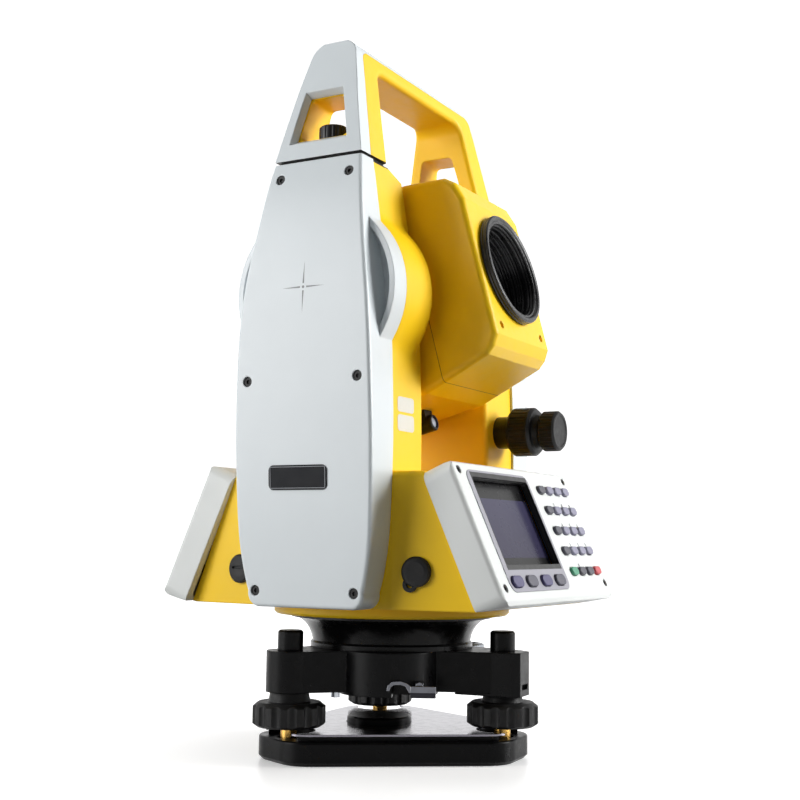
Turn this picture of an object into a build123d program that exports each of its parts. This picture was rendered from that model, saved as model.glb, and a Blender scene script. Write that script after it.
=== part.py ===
from build123d import *
import os
from math import sin, cos, tan, radians, sqrt, atan2, degrees, pi

# Surveying total station, all lengths in millimetres.
# Origin: vertical (standing) axis where it meets the underside of the base plate.
# +Z up, X along the trunnion axis, the operator's front panel faces -Y.

# ------------------------------------------------------------------ driving dimensions
TRUNNION_Z = 224.0          # height of the telescope's tilting axis
TILT_REST = 15.0            # telescope elevation at rest, degrees, towards -Y
OVERALL_Z = 353.4           # top of the carrying handle

PLATE_T = 11.3              # base plate thickness
PLATE_CORNER_R = 70.0       # truncated corners, distance from the axis
PLATE_SIDE_R = 50.0         # side flats, distance from the axis
HUB_R = 16.3                # base plate hub, set off centre
HUB_OFF = (-2.8, 5.1)
HUB_Z = 17.8
THREAD_R = 6.75             # 5/8"-11 tripod thread, tapping radius
THREAD_L = 15.5

SCREW_PCD_R = 60.5          # foot screw circle
SCREW_ANGLES = (155.0, 275.0, 35.0)
SPINDLE_R = 4.0
KNOB_R = 17.65
KNOB_Z0, KNOB_Z1 = 16.5, 28.2
TRIVET_Z0, TRIVET_Z1 = 33.0, 52.6
ARM_B_DROP = 1.5                   # the squared arm's extra depth
BOSS_R = 11.6
CAP_R, CAP_Z1 = 6.2, 62.4

FLANGE_TOP_R, FLANGE_NECK_R, FLANGE_RIM_R = 51.6, 41.0, 41.6
FLANGE_Z0, FLANGE_Z1 = 52.7, 68.6
DISC_R, DISC_Z0 = 60.3, 69.2

STD_X_OUT, STD_X_IN = 68.0, 36.0   # yellow standards, outer (parting) and inner planes
BULGE_R = 44.0                      # round trunnion bulge
BULGE_X_IN = 42.5
BULGE_RIM_X = 79.5
SEAM_Z = 288.2                      # joint between standards and handle
WALL = 3.0

PANEL_TILT = 24.0
PANEL_P0 = (0.0, -68.6, 139.8)
PANEL_HALF_W = 68.3
WEDGE_Z = 138.4                     # top of the lower body
SIDE_X_END = 61.5                   # half width of the lower body at the panels
SIDE_SLOPE = (STD_X_OUT - SIDE_X_END) / 46.0

TEL_HALF_W = 33.0
AXLE_R = 9.0
RUN = 0.05                          # radial running clearance of shafts

parts = {}


def V(*a):
    return Vector(*a)


def solid_of(shape):
    """One Solid or Compound made of plain solids."""
    s = shape.solids()
    return s[0] if len(s) == 1 else Compound(children=list(s))


def keep(name, shape):
    parts[name] = shape


def poly_x(pts, x0, x1):
    """(y, z) polygon extruded from x0 to x1."""
    f = Face(Wire.make_polygon([V(x0, y, z) for y, z in pts], close=True))
    return Solid.extrude(f, V(x1 - x0, 0, 0))


def poly_y(pts, y0, y1):
    """(x, z) polygon extruded from y0 to y1."""
    f = Face(Wire.make_polygon([V(x, y0, z) for x, z in pts], close=True))
    return Solid.extrude(f, V(0, y1 - y0, 0))


def cyl(p, d, r, l):
    """Cylinder from point p along direction d."""
    return Solid.make_cylinder(r, l, Plane(origin=p, z_dir=d))


def box(x0, x1, y0, y1, z0, z1):
    return Solid.make_box(x1 - x0, y1 - y0, z1 - z0, Plane(origin=(x0, y0, z0)))


def ring(p, d, r_out, r_in, l):
    return cyl(p, d, r_out, l) - cyl(V(*p) - V(*d) * 1.0, d, r_in, l + 2.0)


def try_fillet(shape, edges, r):
    try:
        if edges:
            out = fillet(edges, r)
            if out.is_valid and out.volume > 0.5 * shape.volume:
                return out
    except Exception:
        pass
    print("fillet skipped", r)
    return shape


def revolve_z(pts, x=0.0, y=0.0):
    """(r, z) polygon revolved about a vertical line through (x, y)."""
    f = Face(Wire.make_polygon([V(x + r, y, z) for r, z in pts], close=True))
    return Solid.revolve(f, 360, Axis((x, y, 0), (0, 0, 1)))


def revolve_about(pts, p, d, up=(0, 0, 1)):
    """(a, r) polygon, a along axis d from point p, revolved about that axis."""
    d, p, up = V(*d).normalized(), V(*p), V(*up)
    e = (up - d * up.dot(d)).normalized()
    f = Face(Wire.make_polygon([p + d * a + e * r for a, r in pts], close=True))
    return Solid.revolve(f, 360, Axis(p, d))


def mirror_x(s):
    return mirror(s, about=Plane.YZ)


def turn_z(s, a):
    return s.rotate(Axis.Z, a)


# ------------------------------------------------------------------ outlines of standards, covers, handle
# half widths (y) of the cover's outer face at each height
FACE_SIDE = [(31.6, 82.0), (35.0, 97.0), (36.8, 115.0), (37.5, 134.0), (37.8, 155.0), (37.4, 176.0),
             (36.7, 195.0), (35.3, 215.0), (32.8, 235.0), (29.3, 258.0), (24.7, SEAM_Z), (21.5, 304.0),
             (18.4, 319.0), (15.1, 335.0), (12.8, 345.0)]
# distance of the outer face from the middle plane at each height
COVER_X = [(83.0, 70.0), (83.7, 82.0), (85.5, 105.0), (87.0, 130.0), (88.4, 157.0), (89.3, 182.0),
           (89.6, 206.0), (88.4, 232.0), (85.0, 259.0), (81.4, 279.0), (79.2, SEAM_Z), (75.9, 304.0),
           (72.4, 320.0), (68.0, 337.0), (63.8, 352.0)]


def face_outline(x, inset=0.0, z_bot=74.6, z_top=OVERALL_Z, sides=FACE_SIDE):
    """Closed (y, z) outline in the plane x: tall rounded trapezoid with a crowned top."""
    right = [V(x, y - inset, z) for y, z in sides]
    left = [V(x, -(y - inset), z) for y, z in reversed(sides)]
    zb, zt = z_bot + inset, z_top - inset
    yb = sides[0][0] - inset - 5.5
    e = [Edge.make_line(V(x, -yb, zb), V(x, yb, zb)),
         Edge.make_three_point_arc(V(x, yb, zb), V(x, yb + 3.9, zb + 2.0), right[0]),
         Edge.make_spline(right),
         Edge.make_spline([right[-1], V(x, right[-1].Y - 2.4, zt - 3.9), V(x, right[-1].Y - 7.0, zt - 0.9), V(x, 0, zt), V(x, -(right[-1].Y - 7.0), zt - 0.9), V(x, -(right[-1].Y - 2.4), zt - 3.9), left[0]]),
         Edge.make_spline(left),
         Edge.make_three_point_arc(left[-1], V(x, -yb - 3.9, zb + 2.0), V(x, -yb, zb))]
    return Face(Wire(e))


def outer_profile(y0, y1, inset=0.0, x_in=0.0):
    """Body bounded by the curved outer face on the +X side, x from x_in outwards."""
    p = [V(x - inset, y0, z) for x, z in COVER_X]
    zb, zt = COVER_X[0][1], COVER_X[-1][1]
    e = [Edge.make_spline(p), Edge.make_line(p[-1], V(x_in, y0, zt)),
         Edge.make_line(V(x_in, y0, zt), V(x_in, y0, zb)), Edge.make_line(V(x_in, y0, zb), p[0])]
    return Solid.extrude(Face(Wire(e)), V(0, y1 - y0, 0))


# ------------------------------------------------------------------ tribrach
def base_plate_outline(z, inset=0.0):
    """Rounded triangle with clipped corners."""
    pts = []
    for a in SCREW_ANGLES:
        ar = radians(a)
        c = V(cos(ar), sin(ar), 0)
        t = V(-sin(ar), cos(ar), 0)
        # side lines at +-60 degrees from the corner direction, distance PLATE_SIDE_R
        rr = PLATE_CORNER_R - inset
        half = ((PLATE_SIDE_R - inset) - rr * cos(radians(60))) / sin(radians(60))
        pts.append((a, c * rr - t * half, c * rr + t * half))
    pts.sort(key=lambda q: q[0])
    out = []
    for _, p, q in pts:
        out += [V(p.X, p.Y, z), V(q.X, q.Y, z)]
    return out


def base_plate():
    lo = Face(Wire.make_polygon(base_plate_outline(0), close=True))
    body = Solid.extrude(lo, V(0, 0, PLATE_T))
    # softly bowed outline: large corner radii between clipped corners and sides
    vert = [e for e in body.edges() if abs(e.tangent_at(0.5).Z) > 0.99]
    body = try_fillet(body, vert, 17.0)
    bot = [e for e in body.edges() if e.bounding_box().max.Z < 0.01]
    try:
        body = chamfer(bot, 1.8)
    except Exception:
        print("plate chamfer skipped")
    top = [e for e in body.edges() if e.bounding_box().min.Z > PLATE_T - 0.01]
    body = try_fillet(body, top, 1.0)
    body = solid_of(body)
    # low plateau that carries the spring plate
    body = body + (plate_land(PLATE_T - 1.0, 3.2, 4.6) - screw_clearance(14.0))
    # seats of the foot screw balls
    for a in SCREW_ANGLES:
        x, y = SCREW_PCD_R * cos(radians(a)), SCREW_PCD_R * sin(radians(a))
        body = body - cyl((x, y, 3.0), (0, 0, 1), 5.6, 20)
    hx, hy = HUB_OFF
    body = body + revolve_z([(0, 5), (HUB_R, 5), (HUB_R, HUB_Z - 0.8), (HUB_R - 0.8, HUB_Z), (0, HUB_Z)], hx, hy)
    # thread bush pocket, open below
    body = body - cyl((0, 0, -1), (0, 0, 1), BUSH_R, 1 + THREAD_L)
    return solid_of(body)


BUSH_R = 9.4


def plate_land(z0, h, inset):
    """Prism of the plate's outline drawn in by inset, with softened corners."""
    f = Face(Wire.make_polygon(base_plate_outline(z0, inset), close=True))
    b = Solid.extrude(f, V(0, 0, h))
    vert = [e for e in b.edges() if abs(e.tangent_at(0.5).Z) > 0.99]
    return solid_of(try_fillet(b, vert, 13.0))


def screw_clearance(r):
    c = None
    for a in SCREW_ANGLES:
        q = cyl(polar(SCREW_PCD_R, a, -5), (0, 0, 1), r, 60)
        c = q if c is None else c + q
    return c


def tripod_bush():
    return solid_of(ring((0, 0, 0.0), (0, 0, 1), BUSH_R, THREAD_R, THREAD_L))


def spring_plate():
    """Polished steel leaf on the plateau, cut away round the foot screws."""
    b = plate_land(PLATE_T + 2.2, 1.0, 3.4) - screw_clearance(13.0)
    b = b - cyl((HUB_OFF[0], HUB_OFF[1], 0), (0, 0, 1), HUB_R + 0.3, 40)
    return solid_of(b)


def arm_bottom(a):
    """Underside of the arm above a foot screw; the squared arm is deeper."""
    return TRIVET_Z0 - (ARM_B_DROP if a == SCREW_ANGLES[1] else 0.0)


def foot_knob(a):
    """Fluted hand knob, pinned to its spindle."""
    zc = arm_bottom(a) - 0.3
    x, y = SCREW_PCD_R * cos(radians(a)), SCREW_PCD_R * sin(radians(a))
    b = revolve_z([(SPINDLE_R, KNOB_Z0), (KNOB_R - 2.4, KNOB_Z0), (KNOB_R, KNOB_Z0 + 1.6), (KNOB_R, KNOB_Z1 - 2.0),
                   (KNOB_R - 2.6, KNOB_Z1), (10.2, KNOB_Z1), (9.4, zc), (SPINDLE_R, zc)], x, y)
    n = 14
    for i in range(n):
        t = radians(360.0 * (i + 0.5) / n)
        b = b - cyl((x + (KNOB_R + 1.7) * cos(t), y + (KNOB_R + 1.7) * sin(t), KNOB_Z0 - 1), (0, 0, 1), 2.9, 18)
    return solid_of(b)


def foot_spindle(a):
    x, y = SCREW_PCD_R * cos(radians(a)), SCREW_PCD_R * sin(radians(a))
    r = SPINDLE_R
    return solid_of(revolve_z([(0, 3.3), (2.6, 3.3), (4.6, 4.6), (5.0, 6.3), (4.6, 8.0), (2.9, 9.0), (2.9, 10.2), (r, 10.8),
                               (r, 50.0), (r - 0.8, 50.8), (0, 50.8)], x, y))


ROUND_LEVEL_A = 336.0
ROUND_LEVEL_R = 48.0
LOCK_A = 206.5


def polar(r, a, z=0.0):
    return V(r * cos(radians(a)), r * sin(radians(a)), z)


def trivet():
    """Three-armed tribrach top with a boss at each foot screw."""
    h = TRIVET_Z1 - TRIVET_Z0
    b = cyl((0, 0, TRIVET_Z0), (0, 0, 1), 36.0, h)
    for i, a in enumerate(SCREW_ANGLES):
        c = polar(SCREW_PCD_R, a)
        b = b + cyl((c.X, c.Y, arm_bottom(a)), (0, 0, 1), BOSS_R, TRIVET_Z1 - arm_bottom(a))
        # tapered arm
        t = polar(1, a + 90)
        pts = [polar(20, a) + t * 24, polar(SCREW_PCD_R, a) + t * (BOSS_R - 0.1), polar(SCREW_PCD_R, a) - t * (BOSS_R - 0.1), polar(20, a) - t * 24]
        f = Face(Wire.make_polygon([V(p.X, p.Y, TRIVET_Z0) for p in pts], close=True))
        b = b + Solid.extrude(f, V(0, 0, h))
    # squared end block on the arm at the clamp's right
    a = SCREW_ANGLES[1]
    t, d = polar(1, a + 90), polar(1, a)
    pts = [polar(40, a) + t * 8.6, polar(68.5, a) + t * 8.6, polar(72.8, a) + t * 4.4, polar(72.8, a) - t * 9.0, polar(69.0, a) - t * 12.0, polar(40, a) - t * 12.0]
    f = Face(Wire.make_polygon([V(p.X, p.Y, TRIVET_Z0 - ARM_B_DROP) for p in pts], close=True))
    b = b + Solid.extrude(f, V(0, 0, h + ARM_B_DROP))
    # clamp boss facing outwards between two arms
    c = polar(24.5, LOCK_A)
    b = b + cyl((c.X, c.Y, TRIVET_Z0 - 1.2), (0, 0, 1), 24.5, h + 1.2)
    # circular level bracket
    c = polar(ROUND_LEVEL_R, ROUND_LEVEL_A)
    b = b + cyl((c.X, c.Y, TRIVET_Z0 + 3), (0, 0, 1), 12.0, 11.0)
    b = b + Solid.make_box(18, 21, 11, Plane(origin=polar(30, ROUND_LEVEL_A) + polar(-10.5, ROUND_LEVEL_A + 90) + V(0, 0, TRIVET_Z0 + 3), x_dir=polar(1, ROUND_LEVEL_A), z_dir=(0, 0, 1)))
    # screw bores, level seat, spigot for the flange
    for a in SCREW_ANGLES:
        c = polar(SCREW_PCD_R, a)
        b = b - cyl((c.X, c.Y, TRIVET_Z0 - 4), (0, 0, 1), SPINDLE_R + RUN, h + 8)
    c = polar(ROUND_LEVEL_R, ROUND_LEVEL_A)
    b = b - cyl((c.X, c.Y, TRIVET_Z0 + 9.4), (0, 0, 1), 10.0, 30)
    b = b - cyl((c.X, c.Y, TRIVET_Z0 + 14.6), (0, 0, 1), 11.5, 30)
    b = b - cyl((0, 0, TRIVET_Z0 - 1), (0, 0, 1), 27.0, h + 2)
    # notch in the clamp boss below the lever, and the lever's pivot hole
    b = b - Solid.make_box(20, 9.5, 6.4, Plane(origin=polar(34, LOCK_A) + polar(-0.7 + LEVER_S, LOCK_A + 90) + V(0, 0, TRIVET_Z0 - 1.4), x_dir=polar(1, LOCK_A), z_dir=(0, 0, 1)))
    b = b - cyl(lever_pivot() - polar(12.0, LOCK_A), polar(1, LOCK_A), 1.9 + RUN, 20.0)
    # small rectangular slot in the end face of the squared arm
    a = SCREW_ANGLES[1]
    s = Solid.make_box(3, 8.5, 2.6, Plane(origin=polar(71.0, a) + polar(-6.5, a + 90) + V(0, 0, TRIVET_Z0 + 1.6), x_dir=polar(1, a), z_dir=(0, 0, 1)))
    b = b - s
    return solid_of(b)


def foot_caps():
    out = []
    for a in SCREW_ANGLES:
        c = polar(SCREW_PCD_R, a)
        z = TRIVET_Z1
        out.append(solid_of(revolve_z([(0, z + 1.8), (SPINDLE_R + 0.5, z + 1.8), (SPINDLE_R + 0.5, z), (CAP_R + 0.0, z), (CAP_R, CAP_Z1 - 0.9),
                                       (CAP_R - 0.9, CAP_Z1), (0, CAP_Z1)], c.X, c.Y)))
    return Compound(children=out)


LEVER_S = 3.5


def lever_pivot():
    return polar(46.0, LOCK_A) + polar(LEVER_S + 12.5, LOCK_A + 90) + V(0, 0, TRIVET_Z0 + 4.4)


def lock_lever():
    """Clamp lever of the tribrach: pivot stem and curved finger tab, pivoting about a radial line."""
    d, t = polar(1, LOCK_A), polar(1, LOCK_A + 90)
    p = lever_pivot()
    stem = cyl(p - d * 11.0, d, 1.9, 14.0)
    blk = Solid.make_box(3.4, 12.0, 5.4, Plane(origin=p + d * 2.0 - t * 4.2 + V(0, 0, -5.2), x_dir=d, z_dir=(0, 0, 1)))
    # slim curved finger reaching over the notch
    q = [(-3.2, -0.4), (-6.0, 1.6), (-9.0, 2.5), (-13.0, 2.2), (-15.0, 0.4), (-15.6, -2.0), (-14.3, -2.2), (-13.6, -0.4), (-12.3, 0.7), (-9.0, 0.9), (-6.6, 0.2), (-4.6, -3.4), (-3.2, -3.8)]
    f = Face(Wire.make_polygon([p + d * 3.4 + t * a + V(0, 0, c) for a, c in q], close=True))
    fin = Solid.extrude(f, d * 1.6)
    return solid_of(stem + blk + fin)


def level_housing():
    c = polar(ROUND_LEVEL_R, ROUND_LEVEL_A)
    z0 = TRIVET_Z0 + 9.4
    return solid_of(revolve_z([(0, z0), (9.9, z0), (9.9, z0 + 5.5), (11.2, z0 + 6.0), (11.2, z0 + 9.2), (10.2, z0 + 10.0),
                               (8.4, z0 + 10.0), (7.9, z0 + 9.2), (7.9, z0 + 3.0), (0, z0 + 3.0)], c.X, c.Y))


def level_vial():
    c = polar(ROUND_LEVEL_R, ROUND_LEVEL_A)
    z0 = TRIVET_Z0 + 12.4
    return solid_of(revolve_z([(0, z0), (7.8, z0), (7.8, z0 + 5.6), (6.4, z0 + 6.2), (3.4, z0 + 6.6), (0, z0 + 6.7)], c.X, c.Y))


def level_screws():
    out = []
    c = polar(ROUND_LEVEL_R, ROUND_LEVEL_A)
    for k in range(3):
        q = c + polar(8.2, ROUND_LEVEL_A + 60 + 120 * k)
        z0 = TRIVET_Z0 + 3.0
        out.append(cyl((q.X, q.Y, z0 - 5.5), (0, 0, 1), 1.9, 5.5) - Solid.make_box(5, 0.7, 1.2, Plane(origin=(q.X - 2.5, q.Y - 0.35, z0 - 5.5))))
    # one more pair beside the left arm, for the clamp ring
    for r, da in ((33.4, -1.4),):
        q = polar(r, SCREW_ANGLES[0] + da)
        out.append(cyl((q.X, q.Y, TRIVET_Z0 - 4.5), (0, 0, 1), 2.4, 4.5) - Solid.make_box(6, 0.8, 1.2, Plane(origin=(q.X - 3, q.Y - 0.4, TRIVET_Z0 - 4.5))))
    return Compound(children=[solid_of(s) for s in out])


def axis_flange():
    """Waisted black housing of the standing axis."""
    prof = [V(22.0, 0, FLANGE_Z0), V(FLANGE_RIM_R, 0, FLANGE_Z0)]
    e = [Edge.make_line(prof[0], prof[1]),
         Edge.make_line(prof[1], V(FLANGE_RIM_R, 0, FLANGE_Z0 + 2.2)),
         Edge.make_line(V(FLANGE_RIM_R, 0, FLANGE_Z0 + 2.2), V(FLANGE_NECK_R - 0.4, 0, FLANGE_Z0 + 3.2)),
         Edge.make_spline([V(FLANGE_NECK_R - 0.4, 0, FLANGE_Z0 + 3.2), V(FLANGE_NECK_R + 0.3, 0, FLANGE_Z0 + 6.4), V(FLANGE_NECK_R + 2.8, 0, FLANGE_Z0 + 11.0), V(FLANGE_TOP_R, 0, FLANGE_Z1 - 0.9)]),
         Edge.make_line(V(FLANGE_TOP_R, 0, FLANGE_Z1 - 0.9), V(FLANGE_TOP_R, 0, FLANGE_Z1)),
         Edge.make_line(V(FLANGE_TOP_R, 0, FLANGE_Z1), V(22.0, 0, FLANGE_Z1)),
         Edge.make_line(V(22.0, 0, FLANGE_Z1), V(22.0, 0, FLANGE_Z0))]
    b = Solid.revolve(Face(Wire(e)), 360, Axis.Z)
    spig = ring((0, 0, TRIVET_Z0 + 1), (0, 0, 1), 26.8, 22.0, FLANGE_Z0 - TRIVET_Z0 - 1)
    b = b + spig
    # trough for the horizontal circle below the turning part
    b = b - ring((0, 0, FLANGE_Z1 - 5.0), (0, 0, 1), 40.0, 21.0, 8.0)
    b = b + ring((0, 0, FLANGE_Z1 - 5.2), (0, 0, 1), 24.5, 22.0, 3.6)
    return solid_of(b)


SP_R = 12.0


def axis_bush():
    return solid_of(ring((0, 0, TRIVET_Z0 + 1), (0, 0, 1), 22.0, SP_R + RUN, 33.0))


def axis_spindle():
    """Standing axis shaft with its top flange, turning with the alidade."""
    z0 = TRIVET_Z0 + 2.0
    return solid_of(revolve_z([(0, z0), (SP_R - 1, z0), (SP_R, z0 + 1), (SP_R, FLANGE_Z1 + 0.6), (30.0, FLANGE_Z1 + 0.6), (30.0, 76.0), (0, 76.0)]))


def horizontal_circle():
    """Coded glass ring fixed in the flange."""
    return solid_of(ring((0, 0, FLANGE_Z1 - 1.6), (0, 0, 1), 39.5, 22.0, 1.3))


# ------------------------------------------------------------------ alidade frame (one casting)
def std_outline(x, inset=0.0, bulge=True):
    """(y, z) outline of a standard, from the foot to the handle joint."""
    pts = [(30.9, 78.0), (34.0, 97.0), (35.7, 115.0), (36.4, 134.0), (36.5, 155.0), (36.1, 176.0), (35.4, 195.0),
           (34.1, 215.0), (31.6, 235.0), (28.0, 258.0), (22.9, SEAM_Z)]
    r = [V(x, y - inset, z) for y, z in pts]
    l = [V(x, -(y - inset), z) for y, z in reversed(pts)]
    e = [Edge.make_spline(r), Edge.make_line(r[-1], l[0]), Edge.make_spline(l), Edge.make_line(l[-1], r[0])]
    return Face(Wire(e))


def bulge_face(x, r=BULGE_R, blend=13.0):
    """Round bulge joined to the standard's edges by concave blends; as a (y, z) face."""
    f = std_outline(x)
    s = f.fuse(Face(Wire.make_circle(r, Plane(origin=(x, 0, TRUNNION_Z), z_dir=(1, 0, 0)))))
    s = s if isinstance(s, Face) else s.faces()[0]
    s = s.clean() if hasattr(s, "clean") else s
    vs = [v for v in s.vertices() if 150 < v.Z < 280 and abs(v.Y) > 20]
    try:
        g = s.fillet_2d(blend, vs)
        return g
    except Exception as ex:
        print("bulge blend skipped", ex)
        return s


def mirror_y_pts(pts):
    return pts


def alidade_frame():
    zs = SEAM_Z
    # side standards, +X one, then mirrored
    st = Solid.extrude(std_outline(STD_X_IN), V(STD_X_OUT - STD_X_IN, 0, 0))
    st = st & poly_y([(STD_X_IN, 60), (STD_X_OUT + 1, 60), (STD_X_OUT + 1, zs), (51.0, zs), (STD_X_IN, 282.6)], -60, 60)
    bl = Solid.extrude(bulge_face(BULGE_X_IN), V(STD_X_OUT - BULGE_X_IN, 0, 0)) & box(30, 80, -60, 60, 180, 275)
    st = solid_of(st + bl)
    # soften the inner edges
    inner = [e for e in st.edges() if abs(e.center().X - STD_X_IN) < 0.2 and e.bounding_box().size.Z > 20]
    st = try_fillet(st, inner, 2.5)
    st = solid_of(st)
    # cavity behind the side cover
    cav = Solid.extrude(std_outline(STD_X_IN + 5, inset=4.0), V(40, 0, 0)) & box(STD_X_IN + 5, STD_X_OUT + 5, -60, 60, 84, 276)
    cav = cav + Solid.make_cylinder(BULGE_R - 4, 30, Plane(origin=(BULGE_X_IN + 5, 0, TRUNNION_Z), z_dir=(1, 0, 0)))
    st = st - cav
    st = solid_of(st)
    other = mirror_x(st)
    # lower body: wedge under the two panels plus the round turning disc
    pt, pb = pl(0, -4.4, -HOUSE_D - 0.05), pl(0, 63.9, -HOUSE_D - 0.05)
    wedge = poly_x([(pb.Y, pb.Z), (pt.Y, pt.Z), (pt.Y + 2.0, WEDGE_Z), (-pt.Y - 2.0, WEDGE_Z), (-pt.Y, pt.Z), (-pb.Y, pb.Z)], -STD_X_OUT, STD_X_OUT)
    disc = revolve_z([(0, DISC_Z0), (DISC_R - 1.2, DISC_Z0), (DISC_R, DISC_Z0 + 1.2), (DISC_R, 78.0), (0, 78.0)])
    low = poly_x([(pb.Y, pb.Z), (-78.0, 74.6), (78.0, 74.6), (-pb.Y, pb.Z), (74.0, 86.0), (-74.0, 86.0)], -STD_X_OUT, STD_X_OUT)
    b = wedge + low
    plan = Face(Wire.make_polygon([V(sx * x, sy * y, 70) for sx, sy, x, y in
                                   ((1, -1, STD_X_OUT, 38.0), (1, 1, STD_X_OUT, 38.0), (1, 1, SIDE_X_END, 84.0), (-1, 1, SIDE_X_END, 84.0),
                                    (-1, 1, STD_X_OUT, 38.0), (-1, -1, STD_X_OUT, 38.0), (-1, -1, SIDE_X_END, 84.0), (1, -1, SIDE_X_END, 84.0))], close=True))
    b = solid_of(b & Solid.extrude(plan, V(0, 0, 80)))
    top = [e for e in b.edges() if abs(e.center().X) > 60 and e.bounding_box().min.Z > WEDGE_Z - 0.2 and abs(e.tangent_at(0.5).Y) > 0.9 and abs(e.center().Y) > 38.5]
    b = solid_of(try_fillet(b, top, 3.0))
    b = b + disc
    b = b + st + other
    # electronics bay, open to both panels
    bay = poly_x([(-90, 81.0), (-60.0, 133.0), (60.0, 133.0), (90, 81.0)], -31.5, 31.5)
    b = b - bay
    # side bays beside the standards' feet, also open to the panels
    for sx in (1, -1):
        for sy in (1, -1):
            bb = poly_x([(sy * 39.5, 81.0), (sy * 90, 81.0), (sy * 60.0, 133.0), (sy * 39.5, 133.0)], min(sx * 31.0, sx * 57.0), max(sx * 31.0, sx * 57.0))
            b = b - bb
    # spindle seat from below
    b = b - cyl((0, 0, 60), (0, 0, 1), 30.05, 16.0)
    # reading gap over the horizontal circle is inside the disc's underside
    # trunnion bearing bores
    b = b - cyl((-60, 0, TRUNNION_Z), (1, 0, 0), 15.0, 120)
    # clamp barrels seat on flats, handle screw holes in the tops
    for sx in (1, -1):
        b = b - cyl((sx * HS_X, 0, 270), (0, 0, 1), 2.55, 30)
    return solid_of(b)


def side_cover():
    """White outer shell of the +X standard."""
    x0 = STD_X_OUT + 0.05
    blk = Solid.extrude(face_outline(x0), V(95 - x0, 0, 0)) & outer_profile(-60, 60)
    blk = blk & box(x0, 95, -60, 60, 60, SEAM_Z - 0.3)
    blk = solid_of(blk)
    ed = [e for e in blk.edges() if e.bounding_box().min.X > 77.5 and e.center().Z < SEAM_Z - 3]
    blk = solid_of(try_fillet(blk, ed, 1.6))
    # round rim about the trunnion axis
    rim = Solid.extrude(bulge_face(x0), V(BULGE_RIM_X - x0, 0, 0)) & box(x0, BULGE_RIM_X + 1, -60, 60, 190, 266)
    rim = solid_of(rim)
    dish = revolve_about([(BULGE_RIM_X + 1 - x0, 0), (BULGE_RIM_X + 1 - x0, 41.4), (BULGE_RIM_X - x0 - 1.5, 40.6), (BULGE_RIM_X - x0 - 4.5, 39.2), (BULGE_RIM_X - x0 - 6.8, 36.6),
                          (BULGE_RIM_X - x0 - 8.0, 32.5), (BULGE_RIM_X - x0 - 8.3, 26.0), (BULGE_RIM_X - x0 - 8.3, 0)], (x0, 0, TRUNNION_Z), (1, 0, 0))
    rim = rim - dish
    b = rim + blk
    # hollow inside of the block
    hol = Solid.extrude(face_outline(x0 - 1, inset=WALL), V(60, 0, 0)) & outer_profile(-60, 60, inset=WALL) & box(60, 95, -60, 60, 76, SEAM_Z - 4.0)
    b = b - hol
    # screw posts and recesses
    for z, y in ((279.6, 19.4), (180.5, 30.4), (82.1, 27.0)):
        for s in (1, -1):
            post = cyl((x0, s * y, z), (1, 0, 0), 4.4, 30) & outer_profile(-60, 60, inset=1.0)
            post = post & Solid.extrude(face_outline(x0, inset=0.8), V(60, 0, 0))
            b = b + post
    for z, y in ((279.6, 19.4), (180.5, 30.4), (82.1, 27.0)):
        xs = cover_x(z)
        for s in (1, -1):
            b = b - cyl((xs - 2.2, s * y, z), (1, 0, 0), 2.5, 10)
    return solid_of(b)


def cover_x(z):
    for (xa, za), (xb, zb) in zip(COVER_X, COVER_X[1:]):
        if za <= z <= zb:
            return xa + (xb - xa) * (z - za) / (zb - za)
    return COVER_X[-1][0]


def cover_screws():
    out = []
    for sx in (1, -1):
        for z, y in ((279.6, 19.4), (180.5, 30.4), (82.1, 27.0)):
            xs = cover_x(z)
            for s in (1, -1):
                c = cyl((sx * (xs - 2.2), s * y, z), (sx, 0, 0), 2.4, 1.5)
                c = c - Solid.make_cylinder(1.0, 2.0, Plane(origin=(sx * (xs - 1.5), s * y, z), z_dir=(sx, 0, 0)))
                out.append(solid_of(c))
    return out


# ------------------------------------------------------------------ carrying handle
HZ0 = SEAM_Z + 1.3                  # shadow gap under the handle


def handle_block():
    f = face_outline(-95)
    b = Solid.extrude(f, V(190, 0, 0)) & outer_both(0.0)
    b = b & box(-95, 95, -60, 60, HZ0, 360)
    # finger opening
    op = poly_y([(-54.2, 280), (-46.0, 339.4), (46.0, 339.4), (54.2, 280)], -60, 60)
    ed = [e for e in op.edges() if abs(e.tangent_at(0.5).Y) > 0.99 and e.center().Z > 300]
    op = solid_of(try_fillet(op, ed, 7.0))
    b = solid_of(b - op)
    ed = [e for e in b.edges() if abs(e.center().X) < 55 and 289.6 < e.center().Z < 342 and abs(e.center().Y) > 10 and abs(e.tangent_at(0.5).Y) < 0.9]
    b = solid_of(try_fillet(b, ed, 2.6))
    # inset feet that stand on the standards
    foot = box(-95, 95, -60, 60, SEAM_Z + 0.02, HZ0 + 0.5) & Solid.extrude(face_outline(-95, inset=2.2), V(190, 0, 0)) & outer_both(2.4)
    foot = foot - poly_y([(-55.4, 270), (-53.2, 300), (53.2, 300), (55.4, 270)], -60, 60)
    return solid_of(b + foot)


def outer_both(inset):
    a = outer_profile(-60, 60, inset=inset)
    return a + mirror_x(a)


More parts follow.
